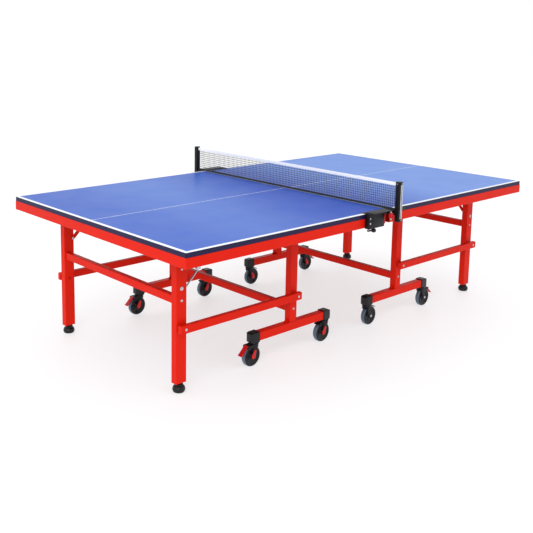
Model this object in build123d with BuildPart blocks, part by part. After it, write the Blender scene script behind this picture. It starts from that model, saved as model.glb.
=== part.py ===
"""Roll-away table tennis table: two folding halves on wheeled T frames, with a clamp-on net.

Millimetres. +X runs along the table, +Y across it and +Z up. The origin is on the floor under
the middle of the net. Both halves are one product: each sub-part is drawn for the left half,
at negative X, and the right half's copy is turned half a turn about the vertical axis.
"""

import os

from build123d import *

os.makedirs("parts", exist_ok=True)

# The whole table
TABLE_LENGTH = 2740.0
TABLE_WIDTH = 1525.0
TABLE_HEIGHT = 760.0
HALVES = (("left", 0.0), ("right", 180.0))

# Clearances
WELD_GAP = 0.2  # keeps welded tubes separate solids
AIR = 0.3  # between pieces that move past each other
RUNNING = 0.05  # radial, round a pin or bolt

# Board and the steel frame under it
BOARD_THICK = 25.0
BOARD_CORNER = 6.0
BOARD_EASE = 1.5
BOARD_END_X = -TABLE_LENGTH / 2
BOARD_NET_X = -4.0
BOARD_BOTTOM = TABLE_HEIGHT - BOARD_THICK
EDGE_Y = TABLE_WIDTH / 2
RAIL_WIDE = 30.0
RAIL_DEEP = 50.0
RAIL_BOTTOM = BOARD_BOTTOM - RAIL_DEEP
NET_RAIL_SETBACK = 14.0
CROSS_RAIL_X = (-930.0, -470.0)

# Steel tube
WALL = 2.0
CORNER = 3.0

# Pivots of the folding linkage: the top and the links are parallel, legs and posts too
FRAME_Y = 500.0
LEG_X = -1200.0
POST_X = -450.0
TOP_PIVOT_Z = 650.0
LINK_PIVOT_Z = 320.0
PIN_R = 5.0
HOLE_R = PIN_R + RUNNING
UPRIGHT_DEEP = 40.0
LEG_WIDE = 60.0
POST_WIDE = 50.0
INNER_FACE_Y = FRAME_Y - UPRIGHT_DEEP / 2
OUTER_FACE_Y = FRAME_Y + UPRIGHT_DEEP / 2

# T frame on the floor
FOOT_TUBE_TALL = 45.0
FOOT_TUBE_WIDE = 40.0
FOOT_TUBE_BOTTOM = 128.0
FOOT_TUBE_TOP = FOOT_TUBE_BOTTOM + FOOT_TUBE_TALL
FOOT_MID_Z = FOOT_TUBE_BOTTOM + FOOT_TUBE_TALL / 2
FOOT_OUT_X = -750.0
FOOT_IN_X = -155.0
CAP_LONG = 55.0
CAP_PROUD = 4.0
CAP_NOSE = 8.0  # length of the taper at each cap's outer end
CAP_TAPER = 6.0  # how far that end is drawn in on each side
CAP_CORNER = 5.0
CAP_FIT = 0.1
T_BAR_Z = 245.0
GUSSET = 22.0
GUSSET_THICK = 6.0

# Crossbars
BAR_TALL = 40.0
BAR_DEEP = 30.0
END_BAR_Z = 450.0
END_BAR_X = LEG_X - 7.0

# Link bars
LINK_THICK = 25.0
LINK_TALL = 40.0
LINK_INNER_Y = OUTER_FACE_Y + 11.0
LINK_MID_Y = LINK_INNER_Y + LINK_THICK / 2
LINK_OUTER_Y = LINK_INNER_Y + LINK_THICK

# Pivot brackets under the top
PLATE = 3.0
BRACKET_LONG = 74.0
BRACKET_EYE_R = 17.0
BRACKET_Y = (INNER_FACE_Y - 2.5, OUTER_FACE_Y + 2.5)
HEAD_R = 9.0
HEAD_THICK = 4.0
SMALL_HEAD_R = 7.0
SHANK_IN = 8.0  # how far a bolt reaches into a tube
LEG_HEADS = ((600.0, 6.0), (508.0, 9.0), (END_BAR_Z, SMALL_HEAD_R))

# Stays that lock the legs upright
ROD_PIVOT = (LEG_X + 20.0, 445.0)
ROD_Y = -470.0
ROD_R = 4.0
ROD_LONG = 182.0
ROD_EYE_R = 9.0
CATCH_X = LEG_X + 138.0
CATCH_BOTTOM = 565.0
CATCH_LONG = 22.0
CATCH_CHEEKS = (ROD_Y - 8.0, ROD_Y + 5.0)
CATCH_FLANGE_Y = (-FRAME_Y - 15.0, ROD_Y + 8.0)
STRAP_PIVOT = (LEG_X + 22.0, 545.0)
STRAP_Y = 476.0
STRAP_WIDE = 20.0
STRAP_THICK = 4.0
STRAP_LONG = 180.0
STAY_PIN_R = 4.0

# Levelling feet
LEG_BOTTOM = 46.0
PAD_R = 26.5
PAD_TALL = 40.0
PAD_FLAT_R = 18.5
PAD_TOP_R = 22.5
PAD_WAIST_Z = 18.0
STEM_IN = 18.0  # how far a foot's stem reaches into its leg
STEM_R = 6.0

# Casters
STEM_X = (-715.0, -185.0)
TRAIL = 20.0
WHEEL_R = 55.0
WHEEL_WIDE = 28.0
HUB_WIDE = 32.0
AXLE_R = 5.0
FORK_INNER_Y = 17.0
FORK_PLATE = 3.0
HEAD_DISC_R = 26.0
PEDAL_PIVOT = (-52.0, 109.0)
PEDAL_TIP = (-94.0, 74.0)
PEDAL_THICK = 5.0
PEDAL_WIDE = 28.0
PEDAL_EYE_R = 6.0
PEDAL_PIN_R = 2.5
PEDAL_PIN_IN = 1.0
PEDAL_SIDE = (
    (PEDAL_PIVOT[0] + 4.0, PEDAL_PIVOT[1] + 4.0),
    (PEDAL_PIVOT[0] - 3.0, PEDAL_PIVOT[1] + 4.0),
    PEDAL_TIP,
    (PEDAL_TIP[0] - 1.0, PEDAL_TIP[1] - 6.0),
    (PEDAL_TIP[0] + 6.0, PEDAL_TIP[1] - PEDAL_THICK),
    (PEDAL_PIVOT[0] - 2.0, PEDAL_PIVOT[1] - 5.0),
    (PEDAL_PIVOT[0] + 4.0, PEDAL_PIVOT[1] - 5.0),
)
FORK_TOP = FOOT_TUBE_BOTTOM - CAP_PROUD - AIR
FORK_SIDE = (
    (22.0, FORK_TOP - 4.0),
    (20.0, 94.0),
    (-TRAIL + 10.0, WHEEL_R - 3.0),
    (-TRAIL - 9.0, WHEEL_R + 6.0),
    (-12.0, 98.0),
    (PEDAL_PIVOT[0] - 5.0, PEDAL_PIVOT[1] - 6.0),
    (PEDAL_PIVOT[0] - 5.0, PEDAL_PIVOT[1] + 4.0),
    (-38.0, FORK_TOP - 4.0),
)
FORK_EYE_R = 11.0
BRIDGE_MID_X = -8.0
BRIDGE_LONG = 60.0
BRIDGE_THICK = 4.0
HEAD_DISC_THICK = 2.0
SWIVEL_STEM = 22.0
AXLE_CAP_R = 8.5
BORE_R = AXLE_R + 2 * RUNNING
HUB_R = 13.0
HUB_ROOT_R = 16.0
WEB_R = 37.0
WEB_Y = 8.0
RIM_R = 40.0
SHOULDER_R = 48.0
CROWN_R = 53.4
CROWN_IN = 5.0

# Net
NET_POST_Y = 830.0
NET_POST = 30.0
NET_POST_BOTTOM = 705.0
NET_TOP = 912.5
NET_POST_TOP = 918.0
TAPE_TALL = 15.0
BAND_BOTTOM = 762.0
BAND_TALL = 12.0
BAND_THICK = 3.0
MESH_THICK = 2.0
CLAMP_X = (-190.0, -60.0)
CLAMP_OUT_Y = -791.0
CLAMP_BOTTOM = 683.0
JAW_THICK = 2.5
JAW_REACH = 25.0
CLAMP_CORNER = 5.0
SCREW_AT = (-176.0, -778.0)
SCREW_R = 5.0
SCREW_IN = 25.0
SCREW_BORE = 30.0
CRANK_LONG = 36.0
CRANK_DROP = 12.0
CRANK_THICK = 5.0
CRANK_WIDE = 14.0
CRANK_KNOB_TALL = 18.0
CRANK_KNOB_R = 9.0
KNOB_AT = (-28.0, -805.0)
KNOB_R = 12.0
KNOB_Z = (714.0, 756.0)
KNOB_EASE = 2.0
KNOB_STEM_R = 4.0
ARM_X = (CLAMP_X[0] + 10.0, -4.0)
ARM_THICK = 4.0
LUG_WIDE = 20.0
TONGUE_X = 150.0
TONGUE_THICK = 2.4
TONGUE_BOTTOM = 737.0
TONGUE_TOP = 760.0
TONGUE_OUT = 3.5
ARM_OVER = 8.0
NET_POST_CORNER = 6.0
NET_POST_EASE = 2.0


def save(piece, name, turn=0.0):
    """Turns a finished piece into its half, labels it and writes its STEP file."""
    piece.part = piece.part.rotate(Axis.Z, turn)
    piece.part.label = name
    export_step(piece.part, f"parts/{name}.step")


def tube(plane, centre, wide, tall, length, closed_end=False):
    """A rectangular steel tube along the plane's normal, its far end closed by a plate if asked."""
    end_plate = WALL if closed_end else 0.0
    with BuildPart() as bar:
        with BuildSketch(plane):
            with Locations(centre):
                RectangleRounded(wide, tall, CORNER)
        extrude(amount=length)
        with BuildSketch(plane):
            with Locations(centre):
                Rectangle(wide - 2 * WALL, tall - 2 * WALL)
        extrude(amount=length - end_plate, mode=Mode.SUBTRACT)
    return bar.part


def upright(x, y, wide, low):
    """A vertical tube with a round top about its pivot, closed at the bottom by a plate."""
    with BuildPart() as post:
        with BuildSketch(Plane.XZ.offset(-(y + UPRIGHT_DEEP / 2))):
            with Locations((x, (low + TOP_PIVOT_Z) / 2)):
                Rectangle(wide, TOP_PIVOT_Z - low)
            with Locations((x, TOP_PIVOT_Z)):
                Circle(wide / 2)
        extrude(amount=UPRIGHT_DEEP)
        fillet(post.faces().filter_by(Axis.Y).edges(), CORNER)
        with BuildSketch(Plane.XZ.offset(-(y + UPRIGHT_DEEP / 2 - WALL))):
            with Locations((x, (low + WALL + TOP_PIVOT_Z) / 2)):
                Rectangle(wide - 2 * WALL, TOP_PIVOT_Z - low - WALL)
            with Locations((x, TOP_PIVOT_Z)):
                Circle(wide / 2 - WALL)
        extrude(amount=UPRIGHT_DEEP - 2 * WALL, mode=Mode.SUBTRACT)
    return post.part


def pin(x, z, y_low, y_high, radius, chamfered=False):
    """A round bar across the table, as a pin, washer or bolt head."""
    with BuildPart() as bar:
        with BuildSketch(Plane.XZ.offset(-y_high)):
            with Locations((x, z)):
                Circle(radius)
        extrude(amount=y_high - y_low)
        if chamfered:
            chamfer(bar.faces().filter_by(Axis.Y).edges(), 1.0)
    return bar.part


def hex_head(x, z, y_low, y_high):
    """A hexagonal bolt head or nut across the table."""
    with BuildPart() as head:
        with BuildSketch(Plane.XZ.offset(-y_high)):
            with Locations((x, z)):
                RegularPolygon(HEAD_R, 6)
        extrude(amount=y_high - y_low)
    return head.part


def across(x, z, y=0.0):
    """The plane square to Y through a pivot, where a hole is bored."""
    return Plane(origin=(x, y, z), z_dir=(0.0, 1.0, 0.0))


def mirrored_y(side, low, high):
    """The Y span on one side of the table for a span given on the positive side."""
    return (low, high) if side > 0 else (-high, -low)


for half, turn in HALVES:
    # The playing board
    with BuildPart() as board:
        with BuildSketch(Plane.XY.offset(BOARD_BOTTOM)):
            with Locations(((BOARD_END_X + BOARD_NET_X) / 2, 0.0)):
                Rectangle(BOARD_NET_X - BOARD_END_X, TABLE_WIDTH)
        extrude(amount=BOARD_THICK)
        fillet(board.edges().filter_by(Axis.Z).group_by(Axis.X)[0], BOARD_CORNER)
        fillet(board.faces().sort_by(Axis.Z)[-1].edges(), BOARD_EASE)
    save(board, f"{half}_board", turn)

    # The steel frame under the board
    net_rail_x = BOARD_NET_X - NET_RAIL_SETBACK
    rail_z = RAIL_BOTTOM + RAIL_DEEP / 2
    rail_y = EDGE_Y - RAIL_WIDE / 2
    inner_half = EDGE_Y - RAIL_WIDE - WELD_GAP
    cross_x = [BOARD_END_X + RAIL_WIDE / 2, *CROSS_RAIL_X, net_rail_x - RAIL_WIDE / 2]
    with BuildPart() as top_frame:
        for y in (-rail_y, rail_y):
            side_rail = Plane(origin=(net_rail_x, 0, 0), x_dir=(0, 1, 0), z_dir=(-1, 0, 0))
            add(tube(side_rail, (y, -rail_z), RAIL_WIDE, RAIL_DEEP, net_rail_x - BOARD_END_X, True))
        for x in cross_x:
            add(tube(Plane.XZ.offset(-inner_half), (x, rail_z), RAIL_WIDE, RAIL_DEEP, 2 * inner_half))
        for y in (-FRAME_Y, FRAME_Y):
            for start, stop in zip(cross_x, cross_x[1:]):
                low = start + RAIL_WIDE / 2 + WELD_GAP
                long = stop - RAIL_WIDE / 2 - WELD_GAP - low
                add(tube(Plane.YZ.offset(low), (y, rail_z), RAIL_WIDE, RAIL_DEEP, long))
    save(top_frame, f"{half}_top_frame", turn)

    # Brackets that hang from the frame at the post tops and the leg tops, and the rod's catch
    with BuildPart() as pivot_brackets:
        for side in (-1, 1):
            for x in (LEG_X, POST_X):
                for y_in in (BRACKET_Y[0] - PLATE / 2, BRACKET_Y[1] - PLATE / 2):
                    y_low, y_high = mirrored_y(side, y_in, y_in + PLATE)
                    with BuildSketch(Plane.XZ.offset(-y_high)):
                        with BuildLine():
                            Polyline(
                                (x - BRACKET_LONG / 2, RAIL_BOTTOM),
                                (x - BRACKET_EYE_R, TOP_PIVOT_Z),
                                (x, TOP_PIVOT_Z),
                                (x + BRACKET_EYE_R, TOP_PIVOT_Z),
                                (x + BRACKET_LONG / 2, RAIL_BOTTOM),
                                close=True,
                            )
                        make_face()
                        with Locations((x, TOP_PIVOT_Z)):
                            Circle(BRACKET_EYE_R)
                    extrude(amount=PLATE)
        for x in (LEG_X, POST_X):
            with Locations(across(x, TOP_PIVOT_Z)):
                Hole(HOLE_R)
        catch_top = RAIL_BOTTOM - PLATE
        for y in CATCH_CHEEKS:
            with BuildSketch(Plane.XY.offset(CATCH_BOTTOM)):
                with Locations((CATCH_X, y + PLATE / 2)):
                    Rectangle(CATCH_LONG, PLATE)
            extrude(amount=catch_top - CATCH_BOTTOM)
        with BuildSketch(Plane.XY.offset(catch_top)):
            with Locations((CATCH_X, sum(CATCH_FLANGE_Y) / 2)):
                Rectangle(CATCH_LONG, CATCH_FLANGE_Y[1] - CATCH_FLANGE_Y[0])
        extrude(amount=PLATE)
    save(pivot_brackets, f"{half}_pivot_brackets", turn)

    # Pins through the brackets, with a head and a nut
    with BuildPart() as pivot_bolts:
        pin_in = BRACKET_Y[0] - PLATE / 2
        pin_out = BRACKET_Y[1] + PLATE / 2
        for side in (-1, 1):
            for x in (LEG_X, POST_X):
                add(pin(x, TOP_PIVOT_Z, *mirrored_y(side, pin_in, pin_out), PIN_R))
                add(pin(x, TOP_PIVOT_Z, *mirrored_y(side, pin_out, pin_out + HEAD_THICK), HEAD_R, True))
                add(hex_head(x, TOP_PIVOT_Z, *mirrored_y(side, pin_in - HEAD_THICK, pin_in)))
    save(pivot_bolts, f"{half}_pivot_bolts", turn)

    # The welded T frame: posts, foot tubes, crossbar and gussets
    with BuildPart() as t_frame:
        for y in (-FRAME_Y, FRAME_Y):
            add(upright(POST_X, y, POST_WIDE, FOOT_TUBE_TOP + WELD_GAP))
            foot_plane = Plane.YZ.offset(FOOT_OUT_X + CAP_PROUD + CAP_FIT)
            foot_long = FOOT_IN_X - FOOT_OUT_X - 2 * (CAP_PROUD + CAP_FIT)
            add(tube(foot_plane, (y, FOOT_MID_Z), FOOT_TUBE_WIDE, FOOT_TUBE_TALL, foot_long))
            for way in (-1, 1):
                face_x = POST_X + way * (POST_WIDE / 2 + WELD_GAP)
                with BuildSketch(Plane.XZ.offset(-(y + GUSSET_THICK / 2))):
                    with BuildLine():
                        Polyline(
                            (face_x, FOOT_TUBE_TOP + WELD_GAP),
                            (face_x + way * GUSSET, FOOT_TUBE_TOP + WELD_GAP),
                            (face_x, FOOT_TUBE_TOP + WELD_GAP + GUSSET),
                            close=True,
                        )
                    make_face()
                extrude(amount=GUSSET_THICK)
        t_bar_half = INNER_FACE_Y - WELD_GAP
        add(tube(Plane.XZ.offset(-t_bar_half), (POST_X, T_BAR_Z), BAR_DEEP, BAR_TALL, 2 * t_bar_half))
        with Locations(across(POST_X, TOP_PIVOT_Z), across(POST_X, LINK_PIVOT_Z)):
            Hole(HOLE_R)
        with Locations(*[(x, y, FOOT_TUBE_BOTTOM) for x in STEM_X for y in (-FRAME_Y, FRAME_Y)]):
            Cylinder(STEM_R + AIR, 3 * WALL, mode=Mode.SUBTRACT)
    save(t_frame, f"{half}_t_frame", turn)

    # Bolts on the posts: the link pivots and the crossbar's fixings
    with BuildPart() as t_bolts:
        for side in (-1, 1):
            add(pin(POST_X, LINK_PIVOT_Z, *mirrored_y(side, OUTER_FACE_Y - SHANK_IN, LINK_OUTER_Y + AIR), PIN_R))
            head = mirrored_y(side, LINK_OUTER_Y + AIR, LINK_OUTER_Y + AIR + HEAD_THICK)
            add(pin(POST_X, LINK_PIVOT_Z, *head, HEAD_R, True))
            add(pin(POST_X, LINK_PIVOT_Z, *mirrored_y(side, OUTER_FACE_Y, LINK_INNER_Y - AIR), HEAD_R))
            add(pin(POST_X, T_BAR_Z, *mirrored_y(side, OUTER_FACE_Y, OUTER_FACE_Y + HEAD_THICK), SMALL_HEAD_R, True))
    save(t_bolts, f"{half}_t_bolts", turn)

    # End caps on the foot tubes: a plain sleeve, tapered in at its outer end
    cap_wide = FOOT_TUBE_WIDE + 2 * CAP_PROUD
    cap_tall = FOOT_TUBE_TALL + 2 * CAP_PROUD
    with BuildPart() as foot_caps:
        for x_end, way in ((FOOT_OUT_X, 1), (FOOT_IN_X, -1)):
            for y in (-FRAME_Y, FRAME_Y):
                shoulder_at = (x_end + way * CAP_NOSE, y, FOOT_MID_Z)
                shoulder = Plane(origin=shoulder_at, x_dir=(0, 1, 0), z_dir=(way, 0, 0))
                with BuildSketch(shoulder):
                    RectangleRounded(cap_wide, cap_tall, CAP_CORNER)
                extrude(amount=CAP_LONG - CAP_NOSE)
                with BuildSketch(shoulder):
                    RectangleRounded(cap_wide, cap_tall, CAP_CORNER)
                with BuildSketch(shoulder.offset(-CAP_NOSE)):
                    RectangleRounded(cap_wide - 2 * CAP_TAPER, cap_tall - 2 * CAP_TAPER, CAP_CORNER)
                loft()
        with BuildSketch(Plane.YZ.offset(FOOT_OUT_X + CAP_PROUD)):
            with Locations(*[(y, FOOT_MID_Z) for y in (-FRAME_Y, FRAME_Y)]):
                RectangleRounded(FOOT_TUBE_WIDE + 2 * CAP_FIT, FOOT_TUBE_TALL + 2 * CAP_FIT, CORNER)
        extrude(amount=FOOT_IN_X - FOOT_OUT_X - 2 * CAP_PROUD, mode=Mode.SUBTRACT)
        with Locations(*[(x, y, FOOT_TUBE_BOTTOM) for x in STEM_X for y in (-FRAME_Y, FRAME_Y)]):
            Cylinder(STEM_R + AIR, 4 * CAP_PROUD, mode=Mode.SUBTRACT)
    save(foot_caps, f"{half}_foot_caps", turn)

    # The end legs
    with BuildPart() as end_legs:
        for y in (-FRAME_Y, FRAME_Y):
            add(upright(LEG_X, y, LEG_WIDE, LEG_BOTTOM))
        with Locations(across(LEG_X, TOP_PIVOT_Z), across(LEG_X, LINK_PIVOT_Z)):
            Hole(HOLE_R)
        with Locations((LEG_X, -FRAME_Y, LEG_BOTTOM), (LEG_X, FRAME_Y, LEG_BOTTOM)):
            Cylinder(STEM_R + 2 * RUNNING, 3 * WALL, mode=Mode.SUBTRACT)
    save(end_legs, f"{half}_end_legs", turn)

    with BuildPart() as end_crossbar:
        end_bar_half = INNER_FACE_Y - WELD_GAP
        end_bar_plane = Plane.XZ.offset(-end_bar_half)
        add(tube(end_bar_plane, (END_BAR_X, END_BAR_Z), BAR_DEEP, BAR_TALL, 2 * end_bar_half))
    save(end_crossbar, f"{half}_end_crossbar", turn)

    # Bolts on the legs: link pivots, crossbar fixings, stay fixings and the stays' pivot pins
    with BuildPart() as leg_bolts:
        for side in (-1, 1):
            add(pin(LEG_X, LINK_PIVOT_Z, *mirrored_y(side, OUTER_FACE_Y - SHANK_IN, LINK_OUTER_Y + AIR), PIN_R))
            head = mirrored_y(side, LINK_OUTER_Y + AIR, LINK_OUTER_Y + AIR + HEAD_THICK)
            add(pin(LEG_X, LINK_PIVOT_Z, *head, HEAD_R, True))
            add(pin(LEG_X, LINK_PIVOT_Z, *mirrored_y(side, OUTER_FACE_Y, LINK_INNER_Y - AIR), HEAD_R))
            for z, radius in LEG_HEADS:
                on_face = mirrored_y(side, OUTER_FACE_Y, OUTER_FACE_Y + HEAD_THICK)
                add(pin(LEG_X, z, *on_face, radius, True))
        rod_pin_y = ROD_Y + ROD_R + AIR
        add(pin(*ROD_PIVOT, -INNER_FACE_Y, rod_pin_y, STAY_PIN_R))
        add(pin(*ROD_PIVOT, rod_pin_y, rod_pin_y + HEAD_THICK, SMALL_HEAD_R, True))
        strap_in = STRAP_Y - STRAP_THICK / 2 - AIR
        add(pin(*STRAP_PIVOT, strap_in, INNER_FACE_Y, STAY_PIN_R))
        add(pin(*STRAP_PIVOT, strap_in - HEAD_THICK, strap_in, SMALL_HEAD_R, True))
    save(leg_bolts, f"{half}_leg_bolts", turn)

    # Link bars from the legs to the posts, outside both
    with BuildPart() as link_bars:
        link_low = LEG_X - LEG_WIDE / 2
        link_high = POST_X + POST_WIDE / 2
        for y in (-LINK_MID_Y, LINK_MID_Y):
            with Locations(((link_low + link_high) / 2, y, LINK_PIVOT_Z)):
                Box(link_high - link_low, LINK_THICK, LINK_TALL)
        fillet(link_bars.edges(), CORNER - 0.5)
        for y in (-LINK_MID_Y, LINK_MID_Y):
            with Locations(((link_low + link_high) / 2, y, LINK_PIVOT_Z)):
                hollow = (link_high - link_low - 2 * WALL, LINK_THICK - 2 * WALL, LINK_TALL - 2 * WALL)
                Box(*hollow, mode=Mode.SUBTRACT)
        with Locations(across(LEG_X, LINK_PIVOT_Z), across(POST_X, LINK_PIVOT_Z)):
            Hole(HOLE_R)
    save(link_bars, f"{half}_link_bars", turn)

    # The zinc rod that locks the leg on one side, with an eye and a bent-over end
    rod_plane = Plane(
        origin=(ROD_PIVOT[0], ROD_Y, ROD_PIVOT[1]), x_dir=(0, 1, 0), z_dir=(1, 0, 1)
    )
    with BuildPart() as stay_rod:
        with BuildSketch(rod_plane):
            Circle(ROD_R)
        extrude(amount=ROD_LONG)
        add(pin(*ROD_PIVOT, ROD_Y - ROD_R, ROD_Y + ROD_R, ROD_EYE_R))
        with Locations(across(*ROD_PIVOT, ROD_Y)):
            Hole(STAY_PIN_R + 2 * RUNNING)
    save(stay_rod, f"{half}_stay_rod", turn)

    # The flat strap that locks the leg on the other side
    with BuildPart() as stay_strap:
        strap_plane = Plane(
            origin=(STRAP_PIVOT[0], STRAP_Y + STRAP_THICK / 2, STRAP_PIVOT[1]),
            x_dir=(1, 0, 1),
            z_dir=(0, -1, 0),
        )
        with BuildSketch(strap_plane):
            with Locations((STRAP_LONG / 2, 0)):
                SlotOverall(STRAP_LONG + STRAP_WIDE, STRAP_WIDE)
            with Locations((0, 0), (STRAP_LONG, 0)):
                Circle(STAY_PIN_R + 2 * RUNNING, mode=Mode.SUBTRACT)
        extrude(amount=STRAP_THICK)
    save(stay_strap, f"{half}_stay_strap", turn)

    # Levelling feet, one under each leg
    foot_stem_top = LEG_BOTTOM + STEM_IN
    for y in (-FRAME_Y, FRAME_Y):
        with BuildPart() as foot:
            with BuildSketch(Plane.XZ):
                with BuildLine():
                    Line((0, 0), (PAD_FLAT_R, 0))
                    ThreePointArc((PAD_FLAT_R, 0), (PAD_R, PAD_WAIST_Z), (PAD_TOP_R, PAD_TALL))
                    Polyline((PAD_TOP_R, PAD_TALL), (STEM_R, PAD_TALL), (STEM_R, foot_stem_top))
                    Polyline((STEM_R, foot_stem_top), (0, foot_stem_top), (0, 0))
                make_face()
            revolve(axis=Axis.Z)
        foot.part = foot.part.translate((LEG_X, y, 0))
        place = "near" if (y < 0) == (turn == 0.0) else "far"
        save(foot, f"{half}_foot_{place}", turn)

    # Casters: each has a swivel fork and a wheel, and the outer ones a brake pedal
    for stem_x, row in zip(STEM_X, ("outer", "inner")):
        for y in (-FRAME_Y, FRAME_Y):
            place = "near" if (y < 0) == (turn == 0.0) else "far"
            name = f"{half}_{row}_{place}"
            with BuildPart() as fork:
                fork_outer_y = FORK_INNER_Y + FORK_PLATE
                with BuildSketch(Plane.XZ.offset(-fork_outer_y)):
                    with BuildLine():
                        Polyline(*FORK_SIDE, close=True)
                    make_face()
                    with Locations((-TRAIL, WHEEL_R)):
                        Circle(FORK_EYE_R)
                extrude(amount=FORK_PLATE)
                mirror(about=Plane.XZ)
                with Locations((BRIDGE_MID_X, 0.0, FORK_TOP - HEAD_DISC_THICK - BRIDGE_THICK / 2)):
                    Box(BRIDGE_LONG, 2 * fork_outer_y, BRIDGE_THICK)
                with Locations((0.0, 0.0, FORK_TOP - HEAD_DISC_THICK / 2)):
                    Cylinder(HEAD_DISC_R, HEAD_DISC_THICK)
                with Locations((0.0, 0.0, FORK_TOP + SWIVEL_STEM / 2)):
                    Cylinder(STEM_R, SWIVEL_STEM)
                axle_cap_y = fork_outer_y + HEAD_THICK
                add(pin(-TRAIL, WHEEL_R, -axle_cap_y, axle_cap_y, AXLE_R))
                for side in (-1, 1):
                    axle_cap = mirrored_y(side, fork_outer_y, axle_cap_y)
                    add(pin(-TRAIL, WHEEL_R, *axle_cap, AXLE_CAP_R, True))
                if row == "outer":
                    pedal_pin_y = FORK_INNER_Y + PEDAL_PIN_IN
                    add(pin(*PEDAL_PIVOT, -pedal_pin_y, pedal_pin_y, PEDAL_PIN_R))
            fork.part = fork.part.translate((stem_x, y, 0))
            save(fork, f"{name}_fork", turn)

            with BuildPart() as wheel:
                with BuildSketch(Plane.XY):
                    with BuildLine():
                        tread = WHEEL_WIDE / 2
                        Polyline((BORE_R, 0), (BORE_R, HUB_WIDE / 2), (HUB_R, HUB_WIDE / 2))
                        Polyline((HUB_R, HUB_WIDE / 2), (HUB_ROOT_R, WEB_Y), (WEB_R, WEB_Y))
                        Polyline((WEB_R, WEB_Y), (RIM_R, tread), (SHOULDER_R, tread))
                        ThreePointArc((SHOULDER_R, tread), (CROWN_R, tread - CROWN_IN), (WHEEL_R, 0))
                        Line((WHEEL_R, 0), (BORE_R, 0))
                    make_face()
                    mirror(about=Plane.XZ)
                revolve(axis=Axis.Y)
            wheel.part = wheel.part.translate((stem_x - TRAIL, y, WHEEL_R))
            save(wheel, f"{name}_wheel", turn)

            if row == "outer":
                with BuildPart() as pedal:
                    with BuildSketch(Plane.XZ.offset(-PEDAL_WIDE / 2)):
                        with BuildLine():
                            Polyline(*PEDAL_SIDE, close=True)
                        make_face()
                        with Locations(PEDAL_PIVOT):
                            Circle(PEDAL_EYE_R)
                            Circle(PEDAL_PIN_R + 2 * RUNNING, mode=Mode.SUBTRACT)
                    extrude(amount=PEDAL_WIDE)
                pedal.part = pedal.part.translate((stem_x, y, 0))
                save(pedal, f"{name}_pedal", turn)

    # The net clamp on this half's front corner by the net, and its screw with a crank
    place = "near" if turn == 0.0 else "far"
    clamp_mid_x = (CLAMP_X[0] + CLAMP_X[1]) / 2
    clamp_long = CLAMP_X[1] - CLAMP_X[0]
    with BuildPart() as clamp:
        with BuildSketch(Plane.XY.offset(CLAMP_BOTTOM)):
            with Locations((clamp_mid_x, (CLAMP_OUT_Y - EDGE_Y) / 2)):
                Rectangle(clamp_long, -EDGE_Y - CLAMP_OUT_Y)
        extrude(amount=TABLE_HEIGHT - CLAMP_BOTTOM)
        fillet(clamp.edges().filter_by(Axis.Z).sort_by(Axis.Y)[0:2], CLAMP_CORNER)
        with BuildSketch(Plane.XY.offset(TABLE_HEIGHT)):
            with Locations((clamp_mid_x, (CLAMP_OUT_Y - EDGE_Y + JAW_REACH) / 2)):
                Rectangle(clamp_long, JAW_REACH - EDGE_Y - CLAMP_OUT_Y)
        extrude(amount=JAW_THICK)
        screw_at = (*SCREW_AT, CLAMP_BOTTOM)
        with Locations(screw_at):
            Cylinder(SCREW_R + RUNNING, 2 * SCREW_BORE, mode=Mode.SUBTRACT)
    save(clamp, f"net_clamp_{place}", turn)

    with BuildPart() as clamp_screw:
        crank_z = CLAMP_BOTTOM - CRANK_DROP
        with Locations((*SCREW_AT, crank_z)):
            Cylinder(SCREW_R, CRANK_DROP + SCREW_IN, align=(Align.CENTER, Align.CENTER, Align.MIN))
        with BuildSketch(Plane.XY.offset(crank_z - CRANK_THICK)):
            with Locations((SCREW_AT[0] + CRANK_LONG / 2, SCREW_AT[1])):
                SlotCenterToCenter(CRANK_LONG, CRANK_WIDE)
        extrude(amount=CRANK_THICK)
        with Locations((SCREW_AT[0] + CRANK_LONG, SCREW_AT[1], crank_z - CRANK_THICK)):
            Cylinder(CRANK_KNOB_R, CRANK_KNOB_TALL, align=(Align.CENTER, Align.CENTER, Align.MAX))
    save(clamp_screw, f"clamp_screw_{place}", turn)

    with BuildPart() as net_knob:
        with Locations((*KNOB_AT, KNOB_Z[0])):
            Cylinder(KNOB_R, KNOB_Z[1] - KNOB_Z[0], align=(Align.CENTER, Align.CENTER, Align.MIN))
        chamfer(net_knob.edges(), KNOB_EASE)
    save(net_knob, f"net_knob_{place}", turn)

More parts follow.
